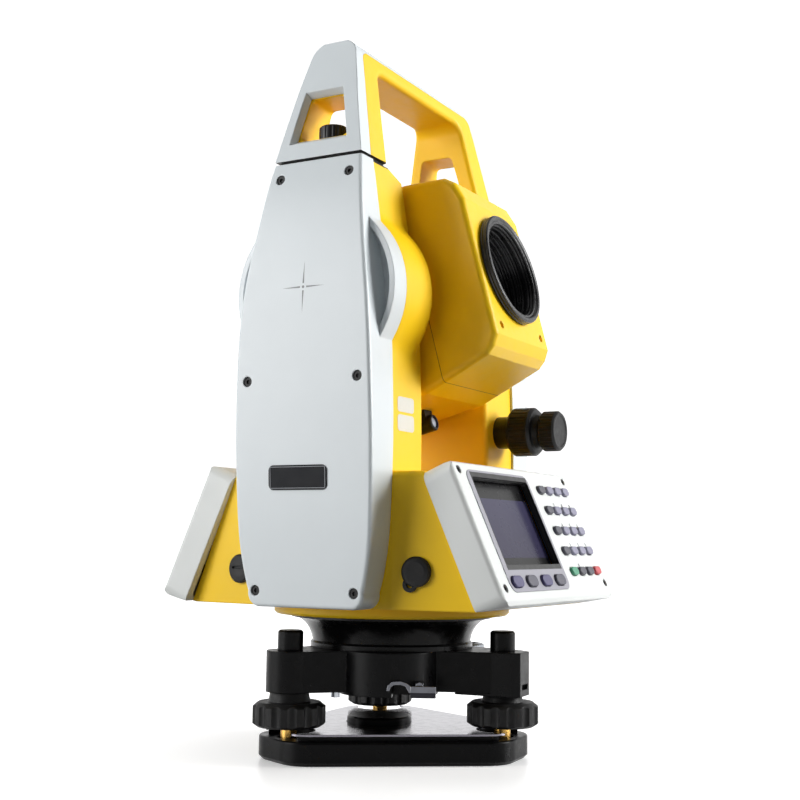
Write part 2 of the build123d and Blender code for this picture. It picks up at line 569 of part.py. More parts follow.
def handle_parts():
    b = handle_block()
    # soften the long outer edges of the legs and bar
    # boundary between the white shell and the yellow inner frame
    core = poly_y([(-70.2, 280), (-69.6, 290), (-59.2, 347.0), (59.2, 347.0), (69.6, 290), (70.2, 280)], -60, 60)
    ed = [e for e in core.edges() if abs(e.tangent_at(0.5).Y) > 0.99 and e.center().Z > 300]
    core = solid_of(try_fillet(core, ed, 6.0))
    inner = Solid.extrude(face_outline(-95, inset=3.0), V(190, 0, 0)) & outer_both(4.0)
    yellow_zone = core + inner + box(-95, 95, -60, 60, SEAM_Z - 5, HZ0 + 0.001)
    win_out, win_in = [], []
    frame = b & yellow_zone
    shell = b - yellow_zone
    for sx in (1, -1):
        # window: wide bevel through the shell, straight through the leg
        w = [(-13.2, 300.6), (15.2, 300.6), (11.0, 322.6), (-7.6, 322.6)]
        W = [(-15.6, 297.6), (17.8, 297.6), (12.4, 326.0), (-9.2, 326.0)]
        thr = poly_x(w, min(sx * 40, sx * 90), max(sx * 40, sx * 90))
        ed = [e for e in thr.edges() if abs(e.tangent_at(0.5).X) > 0.99]
        thr = solid_of(try_fillet(thr, ed, 3.0))
        # the bevel follows the leaning outer face
        a1 = [V(sx * (face_x(z) + 0.6), y, z) for y, z in W]
        a0 = [V(sx * (face_x(z) - 4.6), y, z) for y, z in w]
        bev = Solid.make_loft([Wire.make_polygon(a0, close=True), Wire.make_polygon(a1, close=True)], True)
        frame = frame - thr - bev
        shell = shell - thr - bev
        # hand screw hole in the leg's foot
        frame = frame - cyl((sx * HS_X, 0, 280), (0, 0, 1), 2.55, 25)
    return solid_of(frame), solid_of(shell)


def face_x(z):
    return cover_x(z)


HS_X = 64.4


def handle_screw(sx):
    x = sx * HS_X
    z = 300.6
    b = revolve_z([(0, z), (7.0, z), (7.2, z + 0.6), (7.2, z + 6.4), (6.4, z + 7.2), (2.6, z + 7.2), (2.2, z + 6.4), (0, z + 6.4)], x, 0)
    b = b + cyl((x, 0, 272), (0, 0, 1), 2.5, z - 272 + 0.5)
    for i in range(16):
        t = 2 * pi * i / 16
        b = b - cyl((x + 7.7 * cos(t), 7.7 * sin(t), z - 0.5), (0, 0, 1), 0.85, 10)
    return solid_of(b)


# ------------------------------------------------------------------ operating panels (front; the rear one is the same, turned 180 degrees)
ta = radians(PANEL_TILT)
PN = V(0, -cos(ta), sin(ta))           # outward normal
PU = V(0, sin(ta), cos(ta))            # up the face


def pl(u, v, w=0.0):
    """Panel coordinates: u along X, v down the face, w outwards."""
    return V(*PANEL_P0) + V(u, 0, 0) - PU * v + PN * w


def panel_plane(u, v, w=0.0):
    return Plane(origin=pl(u, v, w), x_dir=(1, 0, 0), z_dir=PN)


def rrect(u0, u1, v0, v1, r, w, depth):
    """Rounded rectangle prism, depth along the normal from level w."""
    pn = panel_plane((u0 + u1) / 2, (v0 + v1) / 2, w)
    sk = pn * RectangleRounded(u1 - u0, v1 - v0, r)
    return Solid.extrude(sk.face() if hasattr(sk, "face") else sk.faces()[0], PN * depth)


def oval(u, v, a, b, w, depth):
    """Stadium prism a wide and b tall."""
    pn = panel_plane(u, v, w)
    sk = pn * SlotOverall(a, b)
    return Solid.extrude(sk.face(), PN * depth)


KEY_U = (25.1, 35.9, 46.6, 57.0)
KEY_V = (7.8, 19.0, 30.2, 41.3, 52.4)
SOFT_U = (-49.2, -32.6, -15.4, 1.5)
SOFT_V = 56.6
BEZ = (-57.2, 12.8, 0.8, 61.4)
SCR = (-52.7, 10.4, 4.3, 48.3)
HOUSE_D = 15.6


def panel_housing():
    # side profile in (w, v)
    prof = [(-HOUSE_D, -4.5), (-5.2, -4.2), (-1.0, -3.2), (0.0, -2.2), (0.0, 65.2), (-1.2, 67.3), (-HOUSE_D, 63.9)]
    f = Face(Wire.make_polygon([pl(-PANEL_HALF_W, v, w) for w, v in prof], close=True))
    b = Solid.extrude(f, V(2 * PANEL_HALF_W, 0, 0))
    rr = rrect(-PANEL_HALF_W, PANEL_HALF_W, -4.6, 67.6, 6.5, -17, 19)
    b = solid_of(b & rr)
    # front side edges rounded along the slope
    h, q = PANEL_HALF_W, 2.6
    arc = [(h - q + q * sin(radians(k)), -q + q * cos(radians(k))) for k in range(0, 91, 10)]
    plan = [(-h, -20.0)] + [(-x, y) for x, y in reversed(arc)] + arc + [(h, -20.0)]
    cut = Solid.extrude(Face(Wire.make_polygon([pl(x, -8, y) for x, y in plan], close=True)), (pl(0, 1, 0) - pl(0, 0, 0)) * 82)
    b = solid_of(b & cut)
    # hollow back
    b = b - rrect(-64.0, 64.0, -0.6, 62.0, 3.0, -17, 13.6)
    # recess for the display bezel, 0.8 deep, and the display window
    b = b - rrect(BEZ[0], BEZ[1], BEZ[2], BEZ[3], 5.0, -0.9, 3)
    b = b - rrect(SCR[0], SCR[1], SCR[2], SCR[3], 1.4, -6, 10)
    for v in KEY_V:
        for u in KEY_U:
            b = b - oval(u, v, 8.7, 4.9, -6, 10)
    for u in SOFT_U:
        b = b - oval(u, SOFT_V, 11.7, 6.1, -6, 10)
    # corner screw posts and recesses
    for u in (-62.7, 62.7):
        for v in (1.2, 59.2):
            b = b - cyl(pl(u, v, -1.6), PN, 2.0, 6)
    return solid_of(b)


def panel_bezel():
    b = rrect(BEZ[0] + 0.05, BEZ[1] - 0.05, BEZ[2] + 0.05, BEZ[3] - 0.05, 4.95, -0.9, 1.2)
    b = b - rrect(SCR[0], SCR[1], SCR[2], SCR[3], 1.4, -3, 6)
    for u in SOFT_U:
        b = b - oval(u, SOFT_V, 11.7, 6.1, -6, 10)
    return solid_of(b)


def panel_display():
    """Liquid crystal module behind the window."""
    b = rrect(SCR[0] - 1.5, SCR[1] + 1.2, SCR[2] - 1.2, SCR[3] + 1.2, 0.8, -8.0, 3.6)
    return solid_of(b)


def key(u, v, a, bb, top):
    k = oval(u, v, a, bb, -3.0, 3.0 + top)
    pn = -PN
    ed = [e for e in k.edges() if abs((e.center() - pl(u, v, top)).dot(PN)) < 0.02]
    return solid_of(try_fillet(k, ed, 0.55))


def key_group(kind, col=None):
    out = []
    if kind == "soft":
        out = [key(u, SOFT_V, 11.0, 5.4, 1.7) for u in SOFT_U]
    else:
        for u in (KEY_U if col is None else (KEY_U[col],)):
            out += [key(u, v, 8.0, 4.2, 1.6) for v in KEY_V]
    return out


def panel_screws():
    out = []
    for u in (-62.7, 62.7):
        for v in (1.2, 59.2):
            c = cyl(pl(u, v, -1.6), PN, 1.9, 1.2) - cyl(pl(u, v, -0.9), PN, 0.8, 2.0)
            out.append(solid_of(c))
    return out


# ------------------------------------------------------------------ ports, nameplate
def side_point(sx, sy, y, z):
    """Point and outward normal on a slanted side face of the lower body."""
    x = STD_X_OUT - (y - 38.0) * SIDE_SLOPE
    n = V(1, SIDE_SLOPE, 0).normalized()
    return V(sx * x, sy * y, z), V(sx * n.X, sy * n.Y, 0)


def port_cap():
    """Push-in rubber cap with a finger ring, on the -X face beside the front panel."""
    p, n = side_point(-1, -1, 50.0, 92.1)
    p = p + n * 0.05
    b = revolve_about([(0, 0), (0, 7.0), (1.6, 7.0), (2.6, 6.2), (3.0, 4.5), (3.0, 0)], p, n)
    t = V(-n.Y, n.X, 0)
    if t.Y < 0:
        t = t * -1
    q = p + t * 3.0 + V(0, 0, -5.9)
    tab = cyl(q, n, 3.4, 1.5) + Solid.make_box(5.0, 3.4, 1.5, Plane(origin=q - t * 2.6 + V(0, 0, 0), x_dir=V(0, 0, 1), z_dir=n))
    tab = tab - cyl(q - n * 1.0, n, 1.5, 4)
    return solid_of(b + tab)


def rear_cap():
    p, n = side_point(-1, 1, 47.4, 91.7)
    p = p + n * 0.05
    b = revolve_about([(0, 0), (0, 7.0), (1.4, 7.0), (2.2, 6.2), (2.4, 4.0), (2.4, 0)], p, n)
    b = b - Solid.make_box(8.0, 1.2, 3.0, Plane(origin=p + n * 1.5 - V(-n.Y, n.X, 0) * 4.0, x_dir=V(-n.Y, n.X, 0), z_dir=n))
    return solid_of(b)


def nameplate():
    """Blank dark plate let onto the -X cover."""
    zc, h = 134.7, 11.6
    f = face_rect_x(-14.0, 18.0, zc - h / 2, zc + h / 2, 2.6)
    b = Solid.extrude(f, V(-40, 0, 0))
    lo = mirror_x(outer_profile(-60, 60))
    hi = lo.moved(Location(V(-0.45, 0, 0)))
    return solid_of((b & hi) - lo)


def face_rect_x(y0, y1, z0, z1, r):
    sk = Plane(origin=(-60, (y0 + y1) / 2, (z0 + z1) / 2), x_dir=(0, 1, 0), z_dir=(1, 0, 0)) * RectangleRounded(y1 - y0, z1 - z0, r)
    return sk.face()


# ------------------------------------------------------------------ clamps and tangent screws
def clamp_set(p, d):
    """Barrel, clamp ring and tangent knob on one axis starting at point p along d."""
    p, d = V(*p), V(*d)
    barrel = revolve_about([(0, 0), (0, 8.7), (8.4, 8.7), (8.4, 5.0), (28.6, 5.0), (28.6, 3.0), (0.8, 3.0), (0.8, 0)], p, d)
    lever = revolve_about([(8.7, 5.05), (8.7, 11.6), (10.2, 13.0), (20.8, 13.0), (22.4, 11.6), (22.4, 9.2), (25.4, 8.4), (25.4, 5.05)], p, d)
    for i in range(24):
        t = 2 * pi * i / 24
        e1 = V(0, 0, 1) if abs(d.Z) < 0.5 else V(1, 0, 0)
        e2 = d.cross(e1)
        q = p + d * 11.0 + (e1 * cos(t) + e2 * sin(t)) * 13.4
        lever = lever - cyl(q, d, 0.8, 9.0)
    knob = revolve_about([(1.2, 0), (1.2, 2.95), (28.9, 2.95), (28.9, 5.4), (25.9, 5.4), (25.9, 9.6), (27.1, 10.7), (34.4, 10.7), (35.6, 9.6), (35.6, 8.4), (35.1, 8.0), (35.1, 0)], p, d)
    for i in range(28):
        t = 2 * pi * i / 28
        q = p + d * 27.2 + (e1 * cos(t) + e2 * sin(t)) * 11.0
        knob = knob - cyl(q, d, 0.6, 7.2)
    return solid_of(barrel), solid_of(lever), solid_of(knob)


# ------------------------------------------------------------------ telescope, built level then tilted to its rest elevation
def tel_profile():
    # (forward, up) outline of the telescope side view; forward is -Y
    pts = [(66.7, 34.0), (63.6, 43.5), (58.7, 47.9), (36.7, 52.8), (0.0, 54.6), (-36.7, 52.8), (-55.0, 47.9), (-58.6, 43.0),
           (-60.0, 34.0), (-60.0, -37.0), (-58.2, -42.0), (-54.5, -45.6), (-22.8, -53.8), (22.8, -53.8), (59.3, -45.3), (63.5, -42.0), (66.7, -37.0)]
    return [(-t, TRUNNION_Z + s) for t, s in pts]


def telescope_body():
    b = poly_x(tel_profile(), -TEL_HALF_W, TEL_HALF_W)
    ed = [e for e in b.edges() if abs(abs(e.center().X) - TEL_HALF_W) < 0.01]
    b = solid_of(try_fillet(b, ed, 3.0))
    # objective seat and barrel bore
    b = b - cyl((0, -38.0, TRUNNION_Z + 1), (0, -1, 0), 26.2, 42)
    b = b - cyl((0, 5.0, TRUNNION_Z + 1), (0, -1, 0), 22.0, 46)
    # distance-meter bay
    b = b - box(-22, 22, 8, 40, TRUNNION_Z - 18, TRUNNION_Z + 30)
    # axle bores
    b = b - cyl((-40, 0, TRUNNION_Z), (1, 0, 0), AXLE_R, 80)
    # eyepiece bore
    b = b - cyl((0, 30, TRUNNION_Z + 1), (0, 1, 0), 9.0, 40)
    # eyepiece stub that carries the focusing ring
    stub = ring((0, 58.0, TRUNNION_Z + 1), (0, 1, 0), 13.5, 9.0, 13.0)
    b = b + stub
    # recessed screws low on the front face
    for x in (-24, 24):
        b = b - cyl((x, -65.4, TRUNNION_Z - 31.5), (0, -1, 0), 1.9, 5)
    # trunnion shoulders
    for s in (1, -1):
        b = b + ring((s * TEL_HALF_W, 0, TRUNNION_Z), (s, 0, 0), 16.0, AXLE_R, 2.0)
    return solid_of(b)


def tilt(s):
    """Objective points to -Y; raise it by the rest elevation."""
    return s.rotate(Axis((0, 0, TRUNNION_Z), (1, 0, 0)), -TILT_REST)


def objective_ring():
    """Sunshade-like black ring with stepped, ribbed inside."""
    y0 = -66.8
    pr = [(0.0, 28.0), (0.6, 28.7), (3.4, 28.7), (4.2, 27.9), (4.2, 26.6), (3.0, 25.6)]
    a = 2.0
    r = 24.6
    prof = [(0.0, 28.0), (0.6, 28.7), (3.6, 28.7), (4.3, 28.0), (4.3, 26.8), (3.2, 25.4)]
    x = 3.2
    for i in range(7):
        prof += [(x, r), (x - 1.6, r), (x - 1.6, r - 0.7), (x - 2.4, r - 0.7)]
        x -= 2.4
        r -= 0.15
    prof += [(x, 23.0), (-22.0, 23.0), (-22.0, 26.1), (0.0, 26.1)]
    b = revolve_about([(q, rr) for q, rr in prof], (0, y0, TRUNNION_Z + 1), (0, -1, 0))
    return solid_of(b)


def objective_lens():
    """Cemented objective, convex outside."""
    y0 = -66.8 + 21.6
    R = 95.0
    a = Edge.make_three_point_arc(V(0, y0, TRUNNION_Z + 1), V(0, y0 + (R - sqrt(R * R - 11.5 ** 2)), TRUNNION_Z + 12.5), V(0, y0 + (R - sqrt(R * R - 22.9 ** 2)), TRUNNION_Z + 23.9))
    e = [a, Edge.make_line(V(0, y0 + (R - sqrt(R * R - 22.9 ** 2)), TRUNNION_Z + 23.9), V(0, y0 + 6.5, TRUNNION_Z + 23.9)),
         Edge.make_line(V(0, y0 + 6.5, TRUNNION_Z + 23.9), V(0, y0 + 6.5, TRUNNION_Z + 1)), Edge.make_line(V(0, y0 + 6.5, TRUNNION_Z + 1), V(0, y0, TRUNNION_Z + 1))]
    b = Solid.revolve(Face(Wire(e)), 360, Axis((0, 0, TRUNNION_Z + 1), (0, 1, 0)))
    return solid_of(b)


def focus_ring():
    p, d = (0, 60.0, TRUNNION_Z + 1), (0, 1, 0)
    b = revolve_about([(0.4, 13.55), (0.4, 19.0), (1.4, 20.0), (8.2, 20.0), (9.2, 18.6), (9.2, 13.55)], p, d)
    for i in range(30):
        t = 2 * pi * i / 30
        b = b - cyl((20.5 * cos(t), 61.2, TRUNNION_Z + 1 + 20.5 * sin(t)), (0, 1, 0), 0.95, 6.4)
    return solid_of(b)


def eyepiece_ring():
    """Diopter ring and eyepiece with rubber-edged cup, sliding over its spigot."""
    p, d = (0, 60.0, TRUNNION_Z + 1), (0, 1, 0)
    b = revolve_about([(-8.0, 6.2), (-8.0, 8.95), (11.3, 8.95), (11.3, 12.6), (12.0, 13.4), (15.6, 13.4), (16.6, 12.4), (17.2, 10.0), (17.2, 6.4), (15.0, 6.2)], p, d)
    for i in range(26):
        t = 2 * pi * i / 26
        b = b - cyl((13.8 * cos(t), 60 + 12.2, TRUNNION_Z + 1 + 13.8 * sin(t)), (0, 1, 0), 0.7, 3.4)
    return solid_of(b)


def eyepiece_lens():
    return solid_of(cyl((0, 60.0 + 10.0, TRUNNION_Z + 1), (0, 1, 0), 6.15, 3.2))


def optical_sight():
    """Coarse collimator under the telescope."""
    z = TRUNNION_Z - 61.0
    tube = revolve_about([(0, 0), (0, 3.8), (0.6, 4.4), (20.0, 4.4), (21.0, 3.4), (21.0, 0)], (0, -8.6, z), (0, 1, 0))
    tube = tube - cyl((0, -9.6, z), (0, 1, 0), 3.2, 3.0)
    foot = poly_x([(-6.0, z), (10.0, z), (10.0, TRUNNION_Z - 53.85), (-6.0, TRUNNION_Z - 53.85)], -4.2, 4.2)
    return solid_of(tube + foot)


def sight_glass():
    z = TRUNNION_Z - 61.0
    return solid_of(cyl((0, -7.6, z), (0, 1, 0), 3.15, 1.4))


def telescope_axle():
    """Two stub shafts pressed into the telescope sides."""
    out = []
    for s in (1, -1):
        b = cyl((s * 25.0, 0, TRUNNION_Z), (s, 0, 0), AXLE_R, 32.0)
        out.append(solid_of(b))
    return out


def trunnion_bearings():
    out = []
    for s in (1, -1):
        b = ring((s * BULGE_X_IN, 0, TRUNNION_Z), (s, 0, 0), 15.0, AXLE_R + RUN, 5.0)
        out.append(solid_of(b))
    return out


def vertical_circle():
    b = ring((49.5, 0, TRUNNION_Z), (1, 0, 0), 33.0, AXLE_R, 2.0)
    return solid_of(b)


def distance_module():
    return solid_of(box(-21, 21, 9, 29, TRUNNION_Z - 17, TRUNNION_Z + 29) - cyl((0, 0, TRUNNION_Z + 1), (0, 1, 0), 7.5, 60))


def main_board():
    b = box(-29, 29, -30, 30, 126, 127.6)
    for x, y, w, d in ((-18, -12, 14, 14), (6, -16, 10, 18), (-10, 12, 20, 8), (14, 12, 8, 8)):
        b = b + box(x, x + w, y, y + d, 127.6, 129.6)
    return solid_of(b)


def battery_pack():
    b = box(-28, 28, -36, 36, 82.0, 118.0)
    ed = [e for e in b.edges() if abs(e.tangent_at(0.5).Y) > 0.99]
    return solid_of(try_fillet(b, ed, 4.0))


if __name__ == "__main__":
    keep("base_plate", base_plate())
    keep("tripod_thread_bush", tripod_bush())
    keep("spring_plate", spring_plate())
    for n, a in zip("abc", SCREW_ANGLES):
        keep("foot_knob_" + n, foot_knob(a))
        keep("foot_spindle_" + n, foot_spindle(a))
    keep("tribrach_top", trivet())
    keep("foot_screw_caps", foot_caps())
    keep("lock_lever", lock_lever())
    keep("circular_level_housing", level_housing())
    keep("circular_level_vial", level_vial())
    keep("adjusting_screws", level_screws())
    keep("axis_flange", axis_flange())
    keep("vertical_axis_bush", axis_bush())
    keep("horizontal_circle", horizontal_circle())

    keep("vertical_axis_spindle", axis_spindle())
    frame = alidade_frame()
    cov = side_cover()
    keep("right_side_cover", cov)
    keep("left_side_cover", mirror_x(cov))
    hf, hs = handle_parts()
    keep("handle_frame", hf)
    keep("handle_shell", hs)
    keep("handle_screw_right", handle_screw(1))
    keep("handle_screw_left", handle_screw(-1))

    ph = panel_housing()
    keep("front_panel_housing", ph)
    keep("rear_panel_housing", turn_z(ph, 180))
    bz = panel_bezel()
    keep("front_bezel", bz)
    keep("rear_bezel", turn_z(bz, 180))
    dp = panel_display()
    keep("front_display", dp)
    keep("rear_display", turn_z(dp, 180))
    ps = panel_screws()
    keep("housing_screws", Compound(children=cover_screws() + ps + [turn_z(s, 180) for s in ps]))
    keep("front_soft_keys", Compound(children=key_group("soft")))
    for c in range(4):
        keep("front_key_column_%d" % (c + 1), Compound(children=key_group("num", c)))
    keep("rear_soft_keys", Compound(children=[turn_z(s, 180) for s in key_group("soft")]))
    keep("rear_keypad", Compound(children=[turn_z(s, 180) for s in key_group("num")]))

    keep("port_cap", port_cap())
    keep("charging_cap", rear_cap())
    keep("nameplate", nameplate())

    vb, vr, vk = clamp_set((52.0, -36.7, 165.3), (0, -1, 0))
    hp, hn = side_point(1, -1, 58.0, 99.0)
    hb, hr, hk = clamp_set(hp + hn * 0.05, hn)
    frame = frame + cyl((52.0, -34, 165.3), (0, -1, 0), 8.7, 2.7)
    frame = frame - cyl((52.0, -32, 165.3), (0, -1, 0), 3.2, 10)
    keep("alidade_frame", solid_of(frame))
    keep("clamp_barrels", Compound(children=[vb, hb]))
    keep("vertical_clamp_ring", vr)
    keep("vertical_tangent_knob", vk)
    keep("horizontal_clamp_ring", hr)
    keep("horizontal_tangent_knob", hk)

    tb = telescope_body()
    keep("telescope_body", tilt(tb))
    keep("objective_ring", tilt(objective_ring()))
    keep("objective_lens", tilt(objective_lens()))
    keep("focus_ring", tilt(focus_ring()))
    keep("eyepiece", tilt(eyepiece_ring()))
    keep("optical_sight", tilt(optical_sight()))
    keep("telescope_axle", Compound(children=[tilt(s) for s in telescope_axle()]))
    keep("vertical_circle", tilt(vertical_circle()))
    keep("distance_module", tilt(distance_module()))
    keep("trunnion_bearings", Compound(children=trunnion_bearings()))
    keep("main_board", main_board())
    keep("battery_pack", battery_pack())

    os.makedirs("parts", exist_ok=True)
    for f in os.listdir("parts"):
        if f.endswith(".step"):
            os.remove(os.path.join("parts", f))
    for name, shape in parts.items():
        export_step(shape, "parts/%s.step" % name)
    print(len(parts), "nodes")
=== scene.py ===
import math
import bpy
import bmesh
from mathutils import Matrix, Vector
from mathutils.bvhtree import BVHTree


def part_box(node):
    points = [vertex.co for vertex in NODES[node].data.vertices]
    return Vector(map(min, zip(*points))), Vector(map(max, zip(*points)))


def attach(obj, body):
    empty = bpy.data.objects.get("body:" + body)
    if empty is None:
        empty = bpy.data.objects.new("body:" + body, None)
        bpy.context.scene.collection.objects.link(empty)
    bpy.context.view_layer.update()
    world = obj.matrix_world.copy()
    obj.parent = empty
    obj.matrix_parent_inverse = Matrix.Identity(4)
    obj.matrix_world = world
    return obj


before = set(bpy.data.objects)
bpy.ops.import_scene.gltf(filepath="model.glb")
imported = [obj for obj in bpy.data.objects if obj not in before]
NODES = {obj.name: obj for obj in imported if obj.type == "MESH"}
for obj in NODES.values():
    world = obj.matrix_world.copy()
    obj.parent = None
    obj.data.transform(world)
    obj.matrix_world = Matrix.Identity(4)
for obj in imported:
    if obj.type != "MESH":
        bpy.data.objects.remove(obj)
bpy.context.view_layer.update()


# ---------------------------------------------------------------- helpers
def srgb(r, g, b):
    out = []
    for v in (r, g, b):
        v = v / 255.0
        out.append(v / 12.92 if v <= 0.04045 else ((v + 0.055) / 1.055) ** 2.4)
    return (out[0], out[1], out[2], 1.0)


class Net:
    """Small helper round a material's node tree."""

    def __init__(self, name):
        self.mat = bpy.data.materials.new(name)
        self.mat.use_nodes = True
        self.t = self.mat.node_tree
        self.bsdf = self.t.nodes["Principled BSDF"]
        self.tc = self.t.nodes.new("ShaderNodeTexCoord")
        self.pos = self.tc.outputs["Object"]

    def link(self, a, b):
        self.t.links.new(a, b)

    def node(self, kind, **k):
        n = self.t.nodes.new(kind)
        for a, v in k.items():
            setattr(n, a, v)
        return n

    def put(self, sock, v):
        if isinstance(v, bpy.types.NodeSocket):
            self.link(v, sock)
        else:
            sock.default_value = v

    def m(self, op, a, b=0.0, c=None, clamp=False):
        n = self.node("ShaderNodeMath", operation=op, use_clamp=clamp)
        self.put(n.inputs[0], a)
        self.put(n.inputs[1], b)
        if c is not None:
            self.put(n.inputs[2], c)
        return n.outputs[0]

    def xyz(self, v=None):
        n = self.node("ShaderNodeSeparateXYZ")
        self.link(v or self.pos, n.inputs[0])
        return n.outputs

    def noise(self, scale, detail=3.0, rough=0.55, vec=None):
        n = self.node("ShaderNodeTexNoise")
        self.link(vec or self.pos, n.inputs["Vector"])
        n.inputs["Scale"].default_value = scale
        n.inputs["Detail"].default_value = detail
        n.inputs["Roughness"].default_value = rough
        return n.outputs["Fac"]

    def span(self, v, a, b, lo=0.0, hi=1.0):
        n = self.node("ShaderNodeMapRange")
        n.clamp = True
        self.put(n.inputs["Value"], v)
        n.inputs["From Min"].default_value = a
        n.inputs["From Max"].default_value = b
        n.inputs["To Min"].default_value = lo
        n.inputs["To Max"].default_value = hi
        return n.outputs[0]

    def mix(self, fac, a, b):
        n = self.node("ShaderNodeMix", data_type="RGBA")
        self.put(n.inputs["Factor"], fac)
        self.put(n.inputs[6], a)
        self.put(n.inputs[7], b)
        return n.outputs[2]

    def stretch(self, sx, sy, sz):
        n = self.node("ShaderNodeMapping")
        self.link(self.pos, n.inputs["Vector"])
        n.inputs["Scale"].default_value = (sx, sy, sz)
        return n.outputs[0]


def edge_mask(n, bevel, lo=0.01, hi=0.10):
    """Rounded normal at edges, and a mask of where they are."""
    if not bevel:
        return None, 0.0
    bv = n.node("ShaderNodeBevel", samples=4)
    bv.inputs["Radius"].default_value = bevel
    geo = n.node("ShaderNodeNewGeometry")
    dot = n.node("ShaderNodeVectorMath", operation="DOT_PRODUCT")
    n.link(bv.outputs[0], dot.inputs[0])
    n.link(geo.outputs["Normal"], dot.inputs[1])
    inv = n.m("SUBTRACT", 1.0, dot.outputs["Value"])
    return bv.outputs[0], n.span(inv, lo, hi)


def surface(name, col, rough=0.4, metal=0.0, grain=2200.0, depth=0.00003, strength=0.35, tone=0.05,
            rough_var=0.08, bevel=0.0005, wear=None, wear_amt=0.5, coat=0.0, coat_rough=0.1, spec=0.5,
            dust=0.0, aniso=0.0, brush=None, marks=None, build_height=None):
    """Procedural finish: grain bump, broad tone and roughness drift, worn edges and dust in scattered noise patches."""
    n = Net(name)
    b = n.bsdf
    b.inputs["Metallic"].default_value = metal
    b.inputs["Specular IOR Level"].default_value = spec
    b.inputs["Coat Weight"].default_value = coat
    b.inputs["Coat Roughness"].default_value = coat_rough
    if aniso:
        b.inputs["Anisotropic"].default_value = aniso
    nb, edge = edge_mask(n, bevel)
    broad = n.noise(26.0, 4.0)
    mid = n.noise(210.0, 4.0, 0.6)
    fine = n.noise(grain, 2.0, 0.6) if brush is None else n.noise(grain, 2.0, 0.6, n.stretch(*brush))
    base = n.mix(n.span(broad, 0.35, 0.65), tuple(c * (1 - tone) for c in col[:3]) + (1,), tuple(min(1, c * (1 + tone)) for c in col[:3]) + (1,))
    if dust:
        base = n.mix(n.m("MULTIPLY", n.span(mid, 0.52, 0.72), dust), base, srgb(150, 148, 140))
    if wear is not None:
        w = n.m("MULTIPLY", n.m("MULTIPLY", edge, n.span(mid, 0.42, 0.62)), wear_amt)
        base = n.mix(w, base, wear)
    height = fine
    if marks is not None:
        base, height = marks(n, base, fine)
    n.link(base, b.inputs["Base Color"])
    r = n.m("ADD", n.span(mid, 0.3, 0.7, rough - rough_var, rough + rough_var), n.m("MULTIPLY", edge, -0.04), clamp=True)
    n.link(r, b.inputs["Roughness"])
    bump = n.node("ShaderNodeBump")
    bump.inputs["Strength"].default_value = strength
    bump.inputs["Distance"].default_value = depth
    n.link(height, bump.inputs["Height"])
    if nb is not None:
        n.link(nb, bump.inputs["Normal"])
    n.link(bump.outputs[0], b.inputs["Normal"])
    return n.mat


def both(n, a, b):
    return n.m("MULTIPLY", a, b)


def any_of(n, *ms):
    v = ms[0]
    for q in ms[1:]:
        v = n.m("MAXIMUM", v, q)
    return v


def within(n, v, lo, hi):
    return both(n, n.m("GREATER_THAN", v, lo), n.m("LESS_THAN", v, hi))


# ---------------------------------------------------------------- finishes
WHITE = srgb(217, 224, 227)
YEL = srgb(250, 204, 2)


def cover_marks(n, base, fine):
    """Fine cross with tapering strokes and a centre point, level with the trunnion."""
    o = n.xyz()
    ay = n.m("ABSOLUTE", o[1])
    az = n.m("ABSOLUTE", n.m("SUBTRACT", o[2], 0.224))

    def stroke(across, along, reach, w0):
        half = n.m("MULTIPLY", n.m("SUBTRACT", 1.0, n.m("DIVIDE", along, reach)), w0)
        return both(n, n.m("LESS_THAN", across, half), n.m("GREATER_THAN", along, 0.0017))

    rr = n.m("SQRT", n.m("ADD", n.m("MULTIPLY", ay, ay), n.m("MULTIPLY", az, az)))
    mask = any_of(n, stroke(ay, az, 0.0128, 0.00052), stroke(az, ay, 0.0118, 0.00052), n.m("LESS_THAN", rr, 0.0007))
    return n.mix(n.m("MULTIPLY", mask, 0.82), base, srgb(52, 54, 56)), n.m("SUBTRACT", fine, n.m("MULTIPLY", mask, 2.0))


def tele_marks(n, base, fine):
    """Parting lines round the telescope housing."""
    o = n.xyz()
    c, s = math.cos(math.radians(15)), math.sin(math.radians(15))
    along = n.m("ADD", n.m("MULTIPLY", o[1], -c), n.m("MULTIPLY", n.m("SUBTRACT", o[2], 0.224), s))
    l1 = n.m("LESS_THAN", n.m("ABSOLUTE", n.m("SUBTRACT", along, 0.0335)), 0.00022)
    l2 = n.m("LESS_THAN", n.m("ABSOLUTE", n.m("ADD", along, 0.030)), 0.00022)
    mask = any_of(n, l1, l2)
    return n.mix(n.m("MULTIPLY", mask, 0.75), base, srgb(110, 74, 0)), n.m("SUBTRACT", fine, n.m("MULTIPLY", mask, 3.0))


def gap_shade_marks(n, base, fine):
    """Painted shade: the gap between the standards and the handle is coloured near-black, where shade falls."""
    z = n.xyz()[2]
    mask = within(n, z, GAP_Z0, GAP_Z1)
    return n.mix(mask, base, srgb(12, 12, 12)), fine


GAP_Z0, GAP_Z1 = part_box("alidade_frame")[1].z - 0.0006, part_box("handle_shell")[0].z + 0.0001
def opening_shade_marks(sign):
    """Painted shade: the walls of the display opening are coloured near-black, where shade falls in the recess."""
    def marks(n, base, fine):
        node = "front_display" if sign > 0 else "rear_display"
        lo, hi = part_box(node)
        o = n.xyz()
        x = o[0]
        x0, x1 = (lo.x + 0.0009, hi.x - 0.0007)
        # along the slope, measured where the display's plane cuts
        v = n.m("ADD", n.m("MULTIPLY", o[1], S24 * sign), n.m("MULTIPLY", o[2], C24))
        ys = (lo.y, hi.y) if sign > 0 else (hi.y, lo.y)
        v0 = ys[0] * S24 * sign + lo.z * C24
        v1 = ys[1] * S24 * sign + hi.z * C24
        # near-black here is painted shade on the walls of the recess
        mask = both(n, within(n, x, x0, x1), within(n, v, v0 + 0.0001, v1 - 0.0001))
        return n.mix(mask, base, srgb(10, 10, 11)), fine
    return marks


